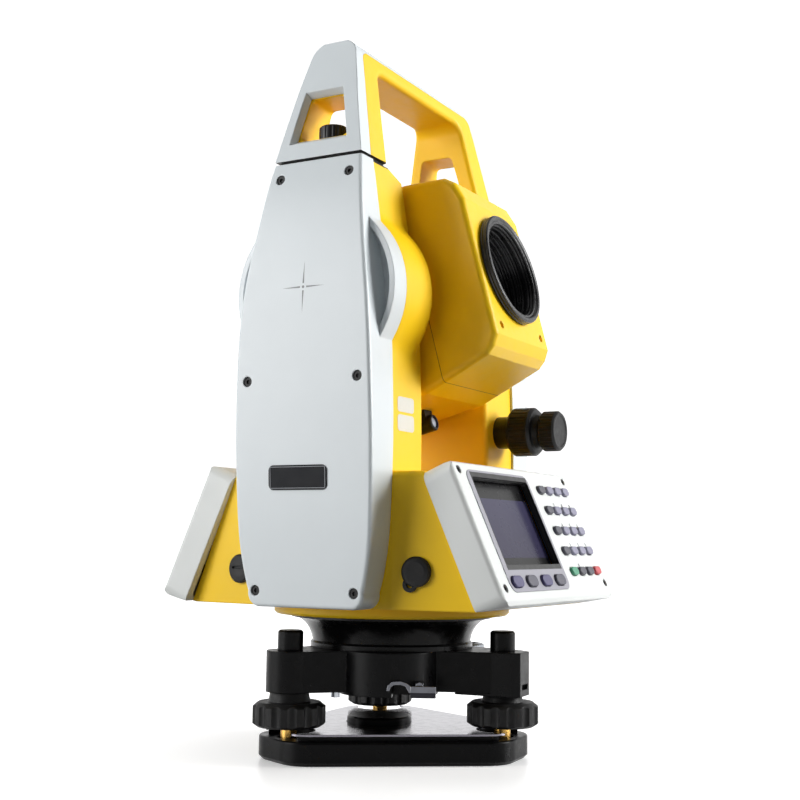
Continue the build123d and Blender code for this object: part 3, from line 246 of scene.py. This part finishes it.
def plate_marks(n, base, fine):
    """Plain light border line on the blank plate."""
    lo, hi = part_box("nameplate")
    o = n.xyz()
    dy = n.m("SUBTRACT", (hi.y - lo.y) / 2, n.m("ABSOLUTE", n.m("SUBTRACT", o[1], (hi.y + lo.y) / 2)))
    dz = n.m("SUBTRACT", (hi.z - lo.z) / 2, n.m("ABSOLUTE", n.m("SUBTRACT", o[2], (hi.z + lo.z) / 2)))
    dd = n.m("MINIMUM", dy, dz)
    line = within(n, dd, 0.0007, 0.00105)
    return n.mix(n.m("MULTIPLY", line, 0.55), base, srgb(190, 194, 198)), n.m("ADD", fine, line)


C24, S24 = 0.913545, 0.406737
M = {}
M["white"] = surface("cover_white_paint", WHITE, 0.36, grain=1500, depth=0.00005, strength=0.28, tone=0.012, rough_var=0.05, bevel=0.0009,
                     wear=srgb(236, 238, 238), wear_amt=0.4, coat=0.12, coat_rough=0.25)
M["cover"] = surface("cover_white_marked", WHITE, 0.36, grain=1500, depth=0.00005, strength=0.28, tone=0.012, rough_var=0.05, bevel=0.0009,
                     wear=srgb(236, 238, 238), wear_amt=0.4, coat=0.12, coat_rough=0.25, marks=cover_marks)
M["panel"] = surface("panel_white_abs", srgb(226, 228, 226), 0.42, grain=1900, depth=0.00004, strength=0.3, tone=0.012, rough_var=0.06, bevel=0.0010,
                     wear=srgb(240, 240, 238), wear_amt=0.4, coat=0.05)
M["panel_front"] = surface("panel_white_front", srgb(220, 223, 221), 0.42, grain=1900, depth=0.00004, strength=0.3, tone=0.012, rough_var=0.06, bevel=0.0010,
                           wear=srgb(236, 236, 234), wear_amt=0.4, spec=0.4, marks=opening_shade_marks(1))
M["panel_rear"] = surface("panel_white_rear", srgb(220, 223, 221), 0.42, grain=1900, depth=0.00004, strength=0.3, tone=0.012, rough_var=0.06, bevel=0.0010,
                          wear=srgb(236, 236, 234), wear_amt=0.4, spec=0.4, marks=opening_shade_marks(-1))
# the yellow paint carries a painted shade band, near-black, in the gap under the handle
M["yellow"] = surface("yellow_paint", YEL, 0.46, grain=1300, depth=0.00006, strength=0.35, tone=0.02, rough_var=0.06, bevel=0.0012,
                      wear=srgb(255, 216, 40), wear_amt=0.4, spec=0.28, marks=gap_shade_marks)
M["yellow_tele"] = surface("yellow_paint_telescope", YEL, 0.38, grain=1300, depth=0.00006, strength=0.35, tone=0.02, rough_var=0.06, bevel=0.0012,
                           wear=srgb(255, 216, 40), wear_amt=0.4, spec=0.28, marks=tele_marks)
M["black_cast"] = surface("tribrach_black_paint", srgb(5, 5, 6), 0.32, grain=1100, depth=0.00006, strength=0.28, tone=0.18, rough_var=0.07, bevel=0.0009,
                          wear=srgb(74, 74, 76), wear_amt=0.20, spec=0.10, dust=0.003)
M["black_flange"] = surface("flange_black_satin", srgb(8, 8, 9), 0.24, grain=1200, depth=0.00003, strength=0.25, tone=0.12, rough_var=0.06, bevel=0.0,
                            spec=0.12, dust=0.005)
M["rubber"] = surface("rubber_black", srgb(9, 9, 10), 0.50, grain=1600, depth=0.00008, strength=0.5, tone=0.2, rough_var=0.12, bevel=0.0006,
                      wear=srgb(44, 44, 44), wear_amt=0.5, spec=0.22, dust=0.02)
M["trim"] = surface("trim_black_plastic", srgb(10, 10, 12), 0.34, grain=2400, depth=0.00004, strength=0.35, tone=0.14, rough_var=0.08, bevel=0.0005,
                    wear=srgb(56, 56, 60), wear_amt=0.45, spec=0.3)
M["brass"] = surface("brass_turned", srgb(196, 156, 84), 0.26, 1.0, grain=240, depth=0.00012, strength=0.5, tone=0.10, rough_var=0.09, bevel=0.0003,
                     wear=srgb(232, 200, 130), wear_amt=0.6, brush=(1, 1, 22))
M["chrome"] = surface("steel_polished", srgb(176, 180, 186), 0.20, 1.0, grain=500, depth=0.00003, strength=0.2, tone=0.06, rough_var=0.07, bevel=0.0003,
                      wear=srgb(220, 222, 226), wear_amt=0.5, brush=(1, 12, 1))
M["steel"] = surface("steel_brushed", srgb(134, 138, 144), 0.34, 1.0, grain=420, depth=0.00005, strength=0.35, tone=0.08, rough_var=0.08, bevel=0.0003,
                     wear=srgb(196, 198, 202), wear_amt=0.6, brush=(14, 1, 1))
M["screw_dark"] = surface("screw_blackened", srgb(12, 12, 13), 0.42, 0.2, grain=700, depth=0.00004, strength=0.3, tone=0.15, rough_var=0.1, bevel=0.0002,
                          wear=srgb(70, 70, 74), wear_amt=0.4, spec=0.25)
M["slate"] = surface("plate_slate", srgb(16, 18, 23), 0.42, grain=1800, depth=0.00003, strength=0.3, tone=0.08, rough_var=0.08, bevel=0.0003,
                     wear=srgb(120, 124, 130), wear_amt=0.4, spec=0.1, marks=plate_marks)
M["lilac"] = surface("bezel_lilac", srgb(168, 168, 182), 0.46, grain=2600, depth=0.00004, strength=0.35, tone=0.02, rough_var=0.07, bevel=0.0004,
                     wear=srgb(200, 200, 208), wear_amt=0.5)
M["lilac_front"] = surface("bezel_lilac_front", srgb(150, 149, 158), 0.46, grain=2600, depth=0.00004, strength=0.35, tone=0.02, rough_var=0.07, bevel=0.0002,
                           wear=srgb(176, 176, 188), wear_amt=0.5, spec=0.35, marks=opening_shade_marks(1))
M["lilac_rear"] = surface("bezel_lilac_rear", srgb(150, 149, 158), 0.46, grain=2600, depth=0.00004, strength=0.35, tone=0.02, rough_var=0.07, bevel=0.0002,
                          wear=srgb(176, 176, 188), wear_amt=0.5, spec=0.35, marks=opening_shade_marks(-1))
M["key_grey"] = surface("key_rubber_lilac", srgb(150, 148, 166), 0.5, grain=2600, depth=0.00004, strength=0.35, tone=0.04, rough_var=0.08, bevel=0.0006,
                        wear=srgb(190, 190, 200), wear_amt=0.4)
M["board"] = surface("board_green", srgb(24, 84, 52), 0.4, grain=900, depth=0.00005, strength=0.4, tone=0.15, bevel=0.0002, wear=srgb(170, 150, 80), wear_amt=0.6)
M["olive"] = surface("inner_olive", srgb(58, 57, 44), 0.5, grain=900, depth=0.00008, strength=0.4, tone=0.1, bevel=0.0006, wear=srgb(110, 108, 90), wear_amt=0.5)


def keys_by(name, rule):
    """Key rubber coloured by place on the panel."""
    def marks(n, base, fine):
        return rule(n, base), fine
    return surface(name, srgb(128, 126, 148), 0.5, grain=2600, depth=0.00004, strength=0.35, tone=0.04, rough_var=0.08, bevel=0.0006,
                   wear=srgb(190, 190, 200), wear_amt=0.3, marks=marks)


KEY_DARK, GREEN, RED, VIOLET, LGREY = srgb(52, 51, 64), srgb(52, 138, 104), srgb(190, 60, 66), srgb(52, 46, 92), srgb(56, 55, 70)


def bottom_row(n):
    lo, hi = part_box("front_key_column_1")
    return n.m("LESS_THAN", n.xyz()[2], lo.z + (hi.z - lo.z) * 0.17)


M["col1"] = keys_by("keys_column_1", lambda n, c: n.mix(bottom_row(n), KEY_DARK, GREEN))
M["col2"] = keys_by("keys_column_2", lambda n, c: n.mix(bottom_row(n), c, KEY_DARK))
M["col4"] = keys_by("keys_column_4", lambda n, c: n.mix(bottom_row(n), c, RED))


def soft_rule(sign):
    def rule(n, c):
        x = n.m("MULTIPLY", n.xyz()[0], sign)
        odd = any_of(n, within(n, x, -0.042, -0.024), n.m("GREATER_THAN", x, -0.008))
        return n.mix(odd, VIOLET, LGREY)
    return rule


M["soft_front"] = keys_by("soft_keys_front", soft_rule(1.0))
M["soft_rear"] = keys_by("soft_keys_rear", soft_rule(-1.0))


def rear_pad_rule(n, c):
    o = n.xyz()
    x = n.m("MULTIPLY", o[0], -1.0)
    low = bottom_row(n)
    c = n.mix(n.m("LESS_THAN", x, 0.031), c, KEY_DARK)
    c = n.mix(low, c, KEY_DARK)
    c = n.mix(both(n, low, n.m("LESS_THAN", x, 0.031)), c, GREEN)
    return n.mix(both(n, low, n.m("GREATER_THAN", x, 0.052)), c, RED)


M["rear_pad"] = keys_by("keys_rear_pad", rear_pad_rule)


def lcd(name, sign):
    """Display window: lit field between darker bands, behind a clear coat."""
    n = Net(name)
    b = n.bsdf
    o = n.xyz()
    lo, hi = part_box("front_display" if sign > 0 else "rear_display")
    z0, z1 = lo.z, hi.z
    t = n.span(o[2], z0, z1)
    grad = n.span(t, 0.1, 0.85)
    field = n.mix(grad, srgb(40, 37, 60), srgb(56, 54, 78))
    bands = any_of(n, n.m("GREATER_THAN", t, 0.80), n.m("LESS_THAN", t, 0.17))
    col = n.mix(bands, field, srgb(20, 20, 21))
    # faint plain rows inside the lit field
    row = n.m("FRACT", n.m("MULTIPLY", t, 13.0))
    line = both(n, within(n, row, 0.35, 0.62), within(n, t, 0.30, 0.74))
    words = n.m("GREATER_THAN", n.noise(900.0, 1.0, 0.5, n.stretch(1, 0.02, 0.02)), 0.52)
    left = n.m("LESS_THAN", n.m("MULTIPLY", o[0], sign), -0.028)
    col = n.mix(n.m("MULTIPLY", both(n, both(n, line, words), left), 0.10), col, srgb(24, 22, 40))
    n.link(col, b.inputs["Base Color"])
    b.inputs["Coat Weight"].default_value = 0.06
    b.inputs["Coat Roughness"].default_value = 0.05
    b.inputs["Specular IOR Level"].default_value = 0.12
    n.link(n.span(n.noise(60.0, 3.0), 0.3, 0.7, 0.24, 0.32), b.inputs["Roughness"])
    em = n.mix(0.5, col, (0, 0, 0, 1))
    n.link(em, b.inputs["Emission Color"])
    b.inputs["Emission Strength"].default_value = 0.25
    bump = n.node("ShaderNodeBump")
    bump.inputs["Strength"].default_value = 0.08
    bump.inputs["Distance"].default_value = 0.00003
    n.link(n.noise(900.0), bump.inputs["Height"])
    n.link(bump.outputs[0], b.inputs["Normal"])
    return n.mat


M["lcd_front"] = lcd("display_front", 1)
M["lcd_rear"] = lcd("display_rear", -1)


def glass(name, tint, rough=0.04, trans=1.0, ior=1.5, coat=0.0):
    n = Net(name)
    b = n.bsdf
    b.inputs["Transmission Weight"].default_value = trans
    b.inputs["IOR"].default_value = ior
    b.inputs["Coat Weight"].default_value = coat
    n.link(n.mix(n.span(n.noise(60.0), 0.3, 0.7), tint, tuple(c * 0.9 for c in tint[:3]) + (1,)), b.inputs["Base Color"])
    n.link(n.span(n.noise(180.0, 4.0), 0.35, 0.75, rough, rough + 0.06), b.inputs["Roughness"])
    bump = n.node("ShaderNodeBump")
    bump.inputs["Strength"].default_value = 0.03
    bump.inputs["Distance"].default_value = 0.00002
    n.link(n.noise(700.0), bump.inputs["Height"])
    n.link(bump.outputs[0], b.inputs["Normal"])
    return n.mat


M["optic"] = glass("coated_optic", srgb(30, 40, 58), 0.02, trans=0.35, coat=1.0)
M["sight_lens"] = glass("sight_lens_glass", srgb(190, 206, 224), 0.03, trans=0.3, coat=1.0)
M["vial"] = glass("level_vial", srgb(196, 214, 110), 0.03, trans=0.6, coat=1.0)
M["circle"] = glass("glass_circle", srgb(180, 196, 200), 0.05, trans=0.7, coat=0.4)


def objective_marks(n, base, fine):
    """Light baffle grooves inside the objective tube."""
    o = n.xyz()
    c, s = math.cos(math.radians(15)), math.sin(math.radians(15))
    along = n.m("ADD", n.m("MULTIPLY", o[1], -c), n.m("MULTIPLY", n.m("SUBTRACT", o[2], 0.224), s))
    wave = n.m("SINE", n.m("MULTIPLY", along, 4200.0))
    return base, n.m("ADD", n.m("MULTIPLY", fine, 0.4), n.m("MULTIPLY", wave, 1.6))


M["objective"] = surface("objective_black", srgb(14, 14, 16), 0.30, grain=2400, depth=0.00012, strength=0.6, tone=0.1, rough_var=0.08, bevel=0.0006,
                         wear=srgb(60, 60, 64), wear_amt=0.4, spec=0.35, marks=objective_marks)

def lever_marks(n, base, fine):
    """Bright hooked finger, dark block."""
    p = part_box("lock_lever")
    o = n.xyz()
    z = n.m("GREATER_THAN", o[2], p[1].z - 0.0052)
    return n.mix(z, srgb(40, 40, 44), base), fine


M["lever"] = surface("lever_steel", srgb(92, 93, 98), 0.18, 1.0, grain=500, depth=0.00003, strength=0.25, tone=0.06, rough_var=0.07, bevel=0.0003,
                     wear=srgb(220, 222, 226), wear_amt=0.5, marks=lever_marks)
M["spring"] = surface("spring_plate_steel", srgb(122, 120, 128), 0.16, 1.0, grain=600, depth=0.00002, strength=0.15, tone=0.06, rough_var=0.05, bevel=0.0003,
                      wear=srgb(200, 200, 206), wear_amt=0.3)

ASSIGN = {
    "base_plate": "black_cast", "tripod_thread_bush": "brass", "spring_plate": "spring", "foot_knob_a": "rubber", "foot_knob_b": "rubber",
    "foot_knob_c": "rubber", "foot_spindle_a": "brass", "foot_spindle_b": "brass", "foot_spindle_c": "brass", "tribrach_top": "black_cast",
    "foot_screw_caps": "black_cast", "lock_lever": "lever", "circular_level_housing": "steel", "circular_level_vial": "vial",
    "adjusting_screws": "chrome", "axis_flange": "black_flange", "vertical_axis_bush": "brass", "vertical_axis_spindle": "steel",
    "horizontal_circle": "circle", "alidade_frame": "yellow", "left_side_cover": "cover", "right_side_cover": "cover", "housing_screws": "screw_dark",
    "front_panel_housing": "panel_front", "rear_panel_housing": "panel_rear", "front_bezel": "lilac_front", "rear_bezel": "lilac_rear", "front_display": "lcd_front",
    "rear_display": "lcd_rear", "front_soft_keys": "soft_front", "rear_soft_keys": "soft_rear", "front_key_column_1": "col1",
    "front_key_column_2": "col2", "front_key_column_3": "col2", "front_key_column_4": "col4", "rear_keypad": "rear_pad", "main_board": "board",
    "battery_pack": "trim", "port_cap": "rubber", "charging_cap": "rubber", "nameplate": "slate", "handle_frame": "yellow",
    "handle_shell": "white", "handle_screw_left": "trim", "handle_screw_right": "trim", "trunnion_bearings": "steel", "clamp_barrels": "trim",
    "vertical_clamp_ring": "rubber", "vertical_tangent_knob": "rubber", "horizontal_clamp_ring": "rubber", "horizontal_tangent_knob": "rubber",
    "telescope_body": "yellow_tele", "objective_ring": "objective", "objective_lens": "optic", "optical_sight": "trim", "telescope_axle": "steel",
    "vertical_circle": "circle", "distance_module": "board", "focus_ring": "rubber", "eyepiece": "trim",
}
for name, o in NODES.items():
    o.data.materials.clear()
    o.data.materials.append(M[ASSIGN[name]])


# ---------------------------------------------------------------- added pieces
def new_piece(name, bm, mat, body, smooth=True):
    me = bpy.data.meshes.new(name)
    bm.to_mesh(me)
    bm.free()
    o = bpy.data.objects.new(name, me)
    bpy.context.scene.collection.objects.link(o)
    me.materials.append(M[mat])
    if smooth:
        for p in me.polygons:
            p.use_smooth = True
    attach(o, body)
    return o


def lathe(name, profile, p, d, mat, body, n=64):
    """Turned piece from (along, radius) points round the line through p along d."""
    d = Vector(d).normalized()
    e1 = d.orthogonal().normalized()
    e2 = d.cross(e1)
    p = Vector(p)
    bm = bmesh.new()
    rings = []
    for a, r in profile:
        if r < 1e-7:
            rings.append([bm.verts.new(p + d * a)])
        else:
            rings.append([bm.verts.new(p + d * a + (e1 * math.cos(t) + e2 * math.sin(t)) * r) for t in [2 * math.pi * k / n for k in range(n)]])
    for A, B in zip(rings, rings[1:]):
        for k in range(n):
            q = (k + 1) % n
            if len(A) == 1 and len(B) == 1:
                continue
            if len(A) == 1:
                bm.faces.new((A[0], B[k], B[q]))
            elif len(B) == 1:
                bm.faces.new((A[k], B[0], A[q]))
            else:
                bm.faces.new((A[k], B[k], B[q], A[q]))
    bmesh.ops.recalc_face_normals(bm, faces=bm.faces)
    return new_piece(name, bm, mat, body)


PANEL = {}


def bvh(node):
    me = NODES[node].data
    return BVHTree.FromPolygons([v.co.copy() for v in me.vertices], [tuple(p.vertices) for p in me.polygons])


TREES = {n: bvh(n) for n in ("alidade_frame", "front_panel_housing", "rear_panel_housing", "eyepiece", "optical_sight", "objective_ring")}


def patch(name, node, origin, direction, du, dv, w, h, lift, thick, mat, body, nu=10, nv=6, corner=0.22):
    """Thin rounded label that follows a CAD surface, found by rays along direction."""
    origin, direction, du, dv = Vector(origin), Vector(direction).normalized(), Vector(du).normalized(), Vector(dv).normalized()
    tree = TREES[node]
    bm = bmesh.new()
    top, low = {}, {}
    r = corner * min(w, h)
    for i in range(nu + 1):
        for j in range(nv + 1):
            a, b = (i / nu - 0.5) * w, (j / nv - 0.5) * h
            # pull the corners in to a round
            ax, bx = abs(a) - (w / 2 - r), abs(b) - (h / 2 - r)
            if ax > 0 and bx > 0:
                q = math.hypot(ax, bx)
                if q > r:
                    a = math.copysign((w / 2 - r) + ax * r / q, a)
                    b = math.copysign((h / 2 - r) + bx * r / q, b)
            p = origin + du * a + dv * b
            hit, nrm, _, _ = tree.ray_cast(p, direction)
            if hit is None:
                bm.free()
                return None
            if nrm.dot(direction) > 0:
                nrm = -nrm
            top[i, j] = bm.verts.new(hit + nrm * (lift + thick))
            low[i, j] = bm.verts.new(hit + nrm * lift)
    for i in range(nu):
        for j in range(nv):
            bm.faces.new((top[i, j], top[i + 1, j], top[i + 1, j + 1], top[i, j + 1]))
            bm.faces.new((low[i, j], low[i, j + 1], low[i + 1, j + 1], low[i + 1, j]))
    rim = [(i, 0) for i in range(nu + 1)] + [(nu, j) for j in range(1, nv + 1)] + [(i, nv) for i in range(nu - 1, -1, -1)] + [(0, j) for j in range(nv - 1, 0, -1)]
    for k in range(len(rim)):
        a, b = rim[k], rim[(k + 1) % len(rim)]
        bm.faces.new((top[b], top[a], low[a], low[b]))
    bmesh.ops.recalc_face_normals(bm, faces=bm.faces)
    return new_piece(name, bm, mat, body, smooth=False)


def panel_point(u, v, w, sign):
    """Point on a control panel in metres: u across, v up the slope, w outwards."""
    o = PANEL[sign]
    return Vector((sign * u, 0, 0)) + o["p0"] + o["up"] * v + o["out"] * w


def find_panel(sign):
    node = "front_panel_housing" if sign > 0 else "rear_panel_housing"
    out = Vector((0, -C24 * sign, S24))
    up = Vector((0, S24 * sign, C24))
    me = NODES[node].data
    wmax = max(v.co.dot(out) for v in me.vertices)
    lo = min(v.co.dot(up) for v in me.vertices if v.co.dot(out) > wmax - 0.00005)
    p = out * wmax + up * (lo + 0.0022)
    PANEL[sign] = {"p0": p, "up": up, "out": out}


for sgn in (1, -1):
    find_panel(sgn)


def glyphs(name, text, size, u, v, w, sign, mat, body, depth=0.00006):
    """Plain printed numeral on a control panel, as a thin solid."""
    cu = bpy.data.curves.new(name, "FONT")
    cu.body = text
    cu.size = size
    cu.extrude = depth
    cu.align_x = "CENTER"
    cu.align_y = "CENTER"
    cu.resolution_u = 3
    o = bpy.data.objects.new(name, cu)
    bpy.context.scene.collection.objects.link(o)
    p = PANEL[sign]
    xax = Vector((sign, 0, 0))
    q = panel_point(u, v, w, sign)
    o.matrix_world = Matrix(((xax.x, p["up"].x, p["out"].x, q.x), (xax.y, p["up"].y, p["out"].y, q.y), (xax.z, p["up"].z, p["out"].z, q.z), (0, 0, 0, 1)))
    bpy.context.view_layer.update()
    dg = bpy.context.evaluated_depsgraph_get()
    me = bpy.data.meshes.new_from_object(o.evaluated_get(dg))
    me.transform(o.matrix_world)
    bpy.data.objects.remove(o)
    me.name = name
    me.materials.clear()
    me.materials.append(M[mat])
    n = bpy.data.objects.new(name, me)
    bpy.context.scene.collection.objects.link(n)
    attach(n, body)
    return n


M["ink"] = surface("printed_ink", srgb(58, 56, 70), 0.5, grain=3000, depth=0.00001, strength=0.2, tone=0.08, bevel=0.00003)
M["ink_red"] = surface("printed_ink_red", srgb(170, 60, 56), 0.5, grain=3000, depth=0.00001, strength=0.2, tone=0.08, bevel=0.00003)
M["label"] = surface("label_white", srgb(212, 210, 200), 0.45, grain=1200, depth=0.00003, strength=0.3, tone=0.03, bevel=0.00005, dust=0.05)

KEY_U = (0.0251, 0.0359, 0.0466, 0.0570)
KEY_V = (0.0078, 0.0190, 0.0302, 0.0413, 0.0524)
CAPTIONS = {(1, 3): "7", (2, 3): "8", (3, 3): "9", (1, 2): "4", (2, 2): "5", (3, 2): "6", (1, 1): "1", (2, 1): "2", (3, 1): "3", (1, 0): "0", (2, 0): ".", (3, 0): "-"}
for sgn, tag in ((1, "front"), (-1, "rear")):
    for (i, j), t in CAPTIONS.items():
        jj = j + 1
        g = glyphs("%s_numeral_%d_%d" % (tag, i, j), t, 0.0033, KEY_U[i], KEY_V[jj] - 0.0054, 0.00003, sgn, "ink", "alidade")

# two small blank labels on the near standard, facing the front panel
patch("blank_label_upper", "alidade_frame", (-0.0536, -0.20, 0.1702), (0, 1, 0), (1, 0, 0), (0, 0, 1), 0.0160, 0.0072, 0.00004, 0.00008, "label", "alidade")
patch("blank_label_lower", "alidade_frame", (-0.0536, -0.20, 0.1614), (0, 1, 0), (1, 0, 0), (0, 0, 1), 0.0160, 0.0078, 0.00004, 0.00008, "label", "alidade")

# ring of the circular level
lo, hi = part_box("circular_level_vial")
cx, cy = (lo.x + hi.x) / 2, (lo.y + hi.y) / 2
lathe("level_ring", [(0, 0.0024), (0.00012, 0.0024), (0.00012, 0.0028), (0, 0.0028), (0, 0.0024)], (cx, cy, hi.z + 0.00002), (0, 0, 1), "ink", "tribrach", 48)

# eyepiece and sight glasses
c15, s15 = math.cos(math.radians(15)), math.sin(math.radians(15))
AX = Vector((0, -c15, s15))


def axis_extent(node):
    me = NODES[node].data
    P0 = Vector((0, 0, 0.224))
    vals = [(v.co - P0).dot(AX) for v in me.vertices]
    return min(vals), max(vals)


def tilt(x, y, z):
    a = math.radians(-15)
    dz = z - 0.224
    return Vector((x, y * math.cos(a) - dz * math.sin(a), 0.224 + y * math.sin(a) + dz * math.cos(a)))


lathe("eyepiece_lens", [(0.0, 0.0), (0.0, 0.0050), (0.0003, 0.00605), (0.0024, 0.00605), (0.0029, 0.0045), (0.0032, 0.0024), (0.0033, 0.0)],
      tilt(0, 0.0700, 0.225), -AX, "optic", "eyepiece")
lathe("sight_lens", [(0.0, 0.0), (0.0, 0.0030), (0.0011, 0.0030), (0.0014, 0.0018), (0.0015, 0.0)],
      tilt(0, -0.0066, 0.163), AX, "sight_lens", "telescope", 40)


# ---------------------------------------------------------------- floor, light, camera
def floor_material():
    n = Net("studio_floor")
    n.link(n.mix(n.span(n.noise(3.0), 0.3, 0.7), srgb(250, 250, 250), srgb(254, 254, 254)), n.bsdf.inputs["Base Color"])
    n.bsdf.inputs["Roughness"].default_value = 0.30
    n.bsdf.inputs["Emission Color"].default_value = (1, 1, 1, 1)
    # painted light: the floor glows, weaker near the object and stronger further out, so it reads darker round the base
    # like a soft shadow
    o = n.xyz()
    far = n.m("SQRT", n.m("ADD", n.m("MULTIPLY", o[0], o[0]), n.m("MULTIPLY", o[1], o[1])))
    n.link(n.span(far, 0.09, 0.42, 0.26, 0.72), n.bsdf.inputs["Emission Strength"])
    n.bsdf.inputs["Specular IOR Level"].default_value = 0.35
    return n.mat


def stage_mesh(name, rings, mat):
    bm = bmesh.new()
    rows = [[bm.verts.new(p) for p in row] for row in rings]
    for A, B in zip(rows, rows[1:]):
        for k in range(len(A) - 1):
            bm.faces.new((A[k], A[k + 1], B[k + 1], B[k]))
    me = bpy.data.meshes.new(name)
    bm.to_mesh(me)
    bm.free()
    o = bpy.data.objects.new(name, me)
    bpy.context.scene.collection.objects.link(o)
    me.materials.append(mat)
    return o


def arc_row(r, z, a0=0.0, a1=360.0, n=96):
    return [(r * math.cos(math.radians(a0 + (a1 - a0) * k / n)), r * math.sin(math.radians(a0 + (a1 - a0) * k / n)), z) for k in range(n + 1)]


def glow(name, strength):
    n = Net(name)
    n.link(n.mix(n.span(n.noise(2.0), 0.3, 0.7), srgb(252, 252, 252), srgb(255, 255, 255)), n.bsdf.inputs["Base Color"])
    n.bsdf.inputs["Emission Color"].default_value = (1, 1, 1, 1)
    n.bsdf.inputs["Emission Strength"].default_value = strength
    n.bsdf.inputs["Roughness"].default_value = 0.9
    return n.mat


floor = stage_mesh("studio_floor", [arc_row(0.0005, -0.0001), arc_row(0.15, -0.0001), arc_row(0.55, -0.0001)], floor_material())
floor.visible_diffuse = False
far_floor = stage_mesh("studio_sweep_floor", [arc_row(0.55, -0.0001), arc_row(5.0, -0.0001)], glow("sweep_floor_white", 1.0))
far_floor.visible_diffuse = False
wall = stage_mesh("studio_sweep_wall", [arc_row(4.9, 0.0, -60, 120), arc_row(4.9, 4.0, -60, 120)], glow("sweep_wall_white", 1.0))
wall.visible_diffuse = False

world = bpy.data.worlds.new("studio")
bpy.context.scene.world = world
world.use_nodes = True
wt = world.node_tree
bg = wt.nodes["Background"]
bg.inputs["Color"].default_value = (1.0, 1.0, 1.0, 1)
bg.inputs["Strength"].default_value = 0.15
# plain white sweep behind the object, with less light from it than it shows
sweep = wt.nodes.new("ShaderNodeBackground")
sweep.inputs["Color"].default_value = (1.0, 1.0, 1.0, 1)
sweep.inputs["Strength"].default_value = 1.05
lp = wt.nodes.new("ShaderNodeLightPath")
mx = wt.nodes.new("ShaderNodeMixShader")
wt.links.new(lp.outputs["Is Camera Ray"], mx.inputs[0])
wt.links.new(bg.outputs[0], mx.inputs[1])
wt.links.new(sweep.outputs[0], mx.inputs[2])
wt.links.new(mx.outputs[0], wt.nodes["World Output"].inputs["Surface"])


def area(name, loc, target, size, power, col=(1, 1, 1)):
    l = bpy.data.lights.new(name, "AREA")
    l.shape = "RECTANGLE"
    l.size, l.size_y = size
    l.energy = power
    l.color = col
    o = bpy.data.objects.new(name, l)
    bpy.context.scene.collection.objects.link(o)
    o.location = loc
    o.rotation_euler = (Vector(target) - Vector(loc)).to_track_quat("-Z", "Y").to_euler()
    return o


area("cover_softbox", (-1.05, 0.90, 0.50), (0, 0, 0.2), (0.9, 0.9), 16.3)
area("front_softbox", (0.62, -1.15, 0.60), (0, 0, 0.2), (0.55, 0.7), 24.0)
area("top_soft", (0.0, 0.25, 1.35), (0, 0, 0.1), (1.3, 1.3), 4.5)

C = Vector((-0.59087, -0.33177, 0.10464))
az, pitch, roll = math.radians(-60.93), math.radians(6.32), math.radians(0.70)
d = Vector((0.8687, 0.4829, 0.1101)).normalized()
r0 = d.cross(Vector((0, 0, 1))).normalized()
u0 = r0.cross(d).normalized()
r = r0 * math.cos(roll) + u0 * math.sin(roll)
u = -r0 * math.sin(roll) + u0 * math.cos(roll)
cam_data = bpy.data.cameras.new("camera")
cam_data.sensor_width = 36.0
cam_data.lens = 58.45
cam_data.clip_start = 0.01
cam = bpy.data.objects.new("camera", cam_data)
bpy.context.scene.collection.objects.link(cam)
cam.matrix_world = Matrix(((r.x, u.x, -d.x, C.x), (r.y, u.y, -d.y, C.y), (r.z, u.z, -d.z, C.z), (0, 0, 0, 1)))
bpy.context.scene.camera = cam
bpy.context.scene.view_settings.view_transform = "Standard"
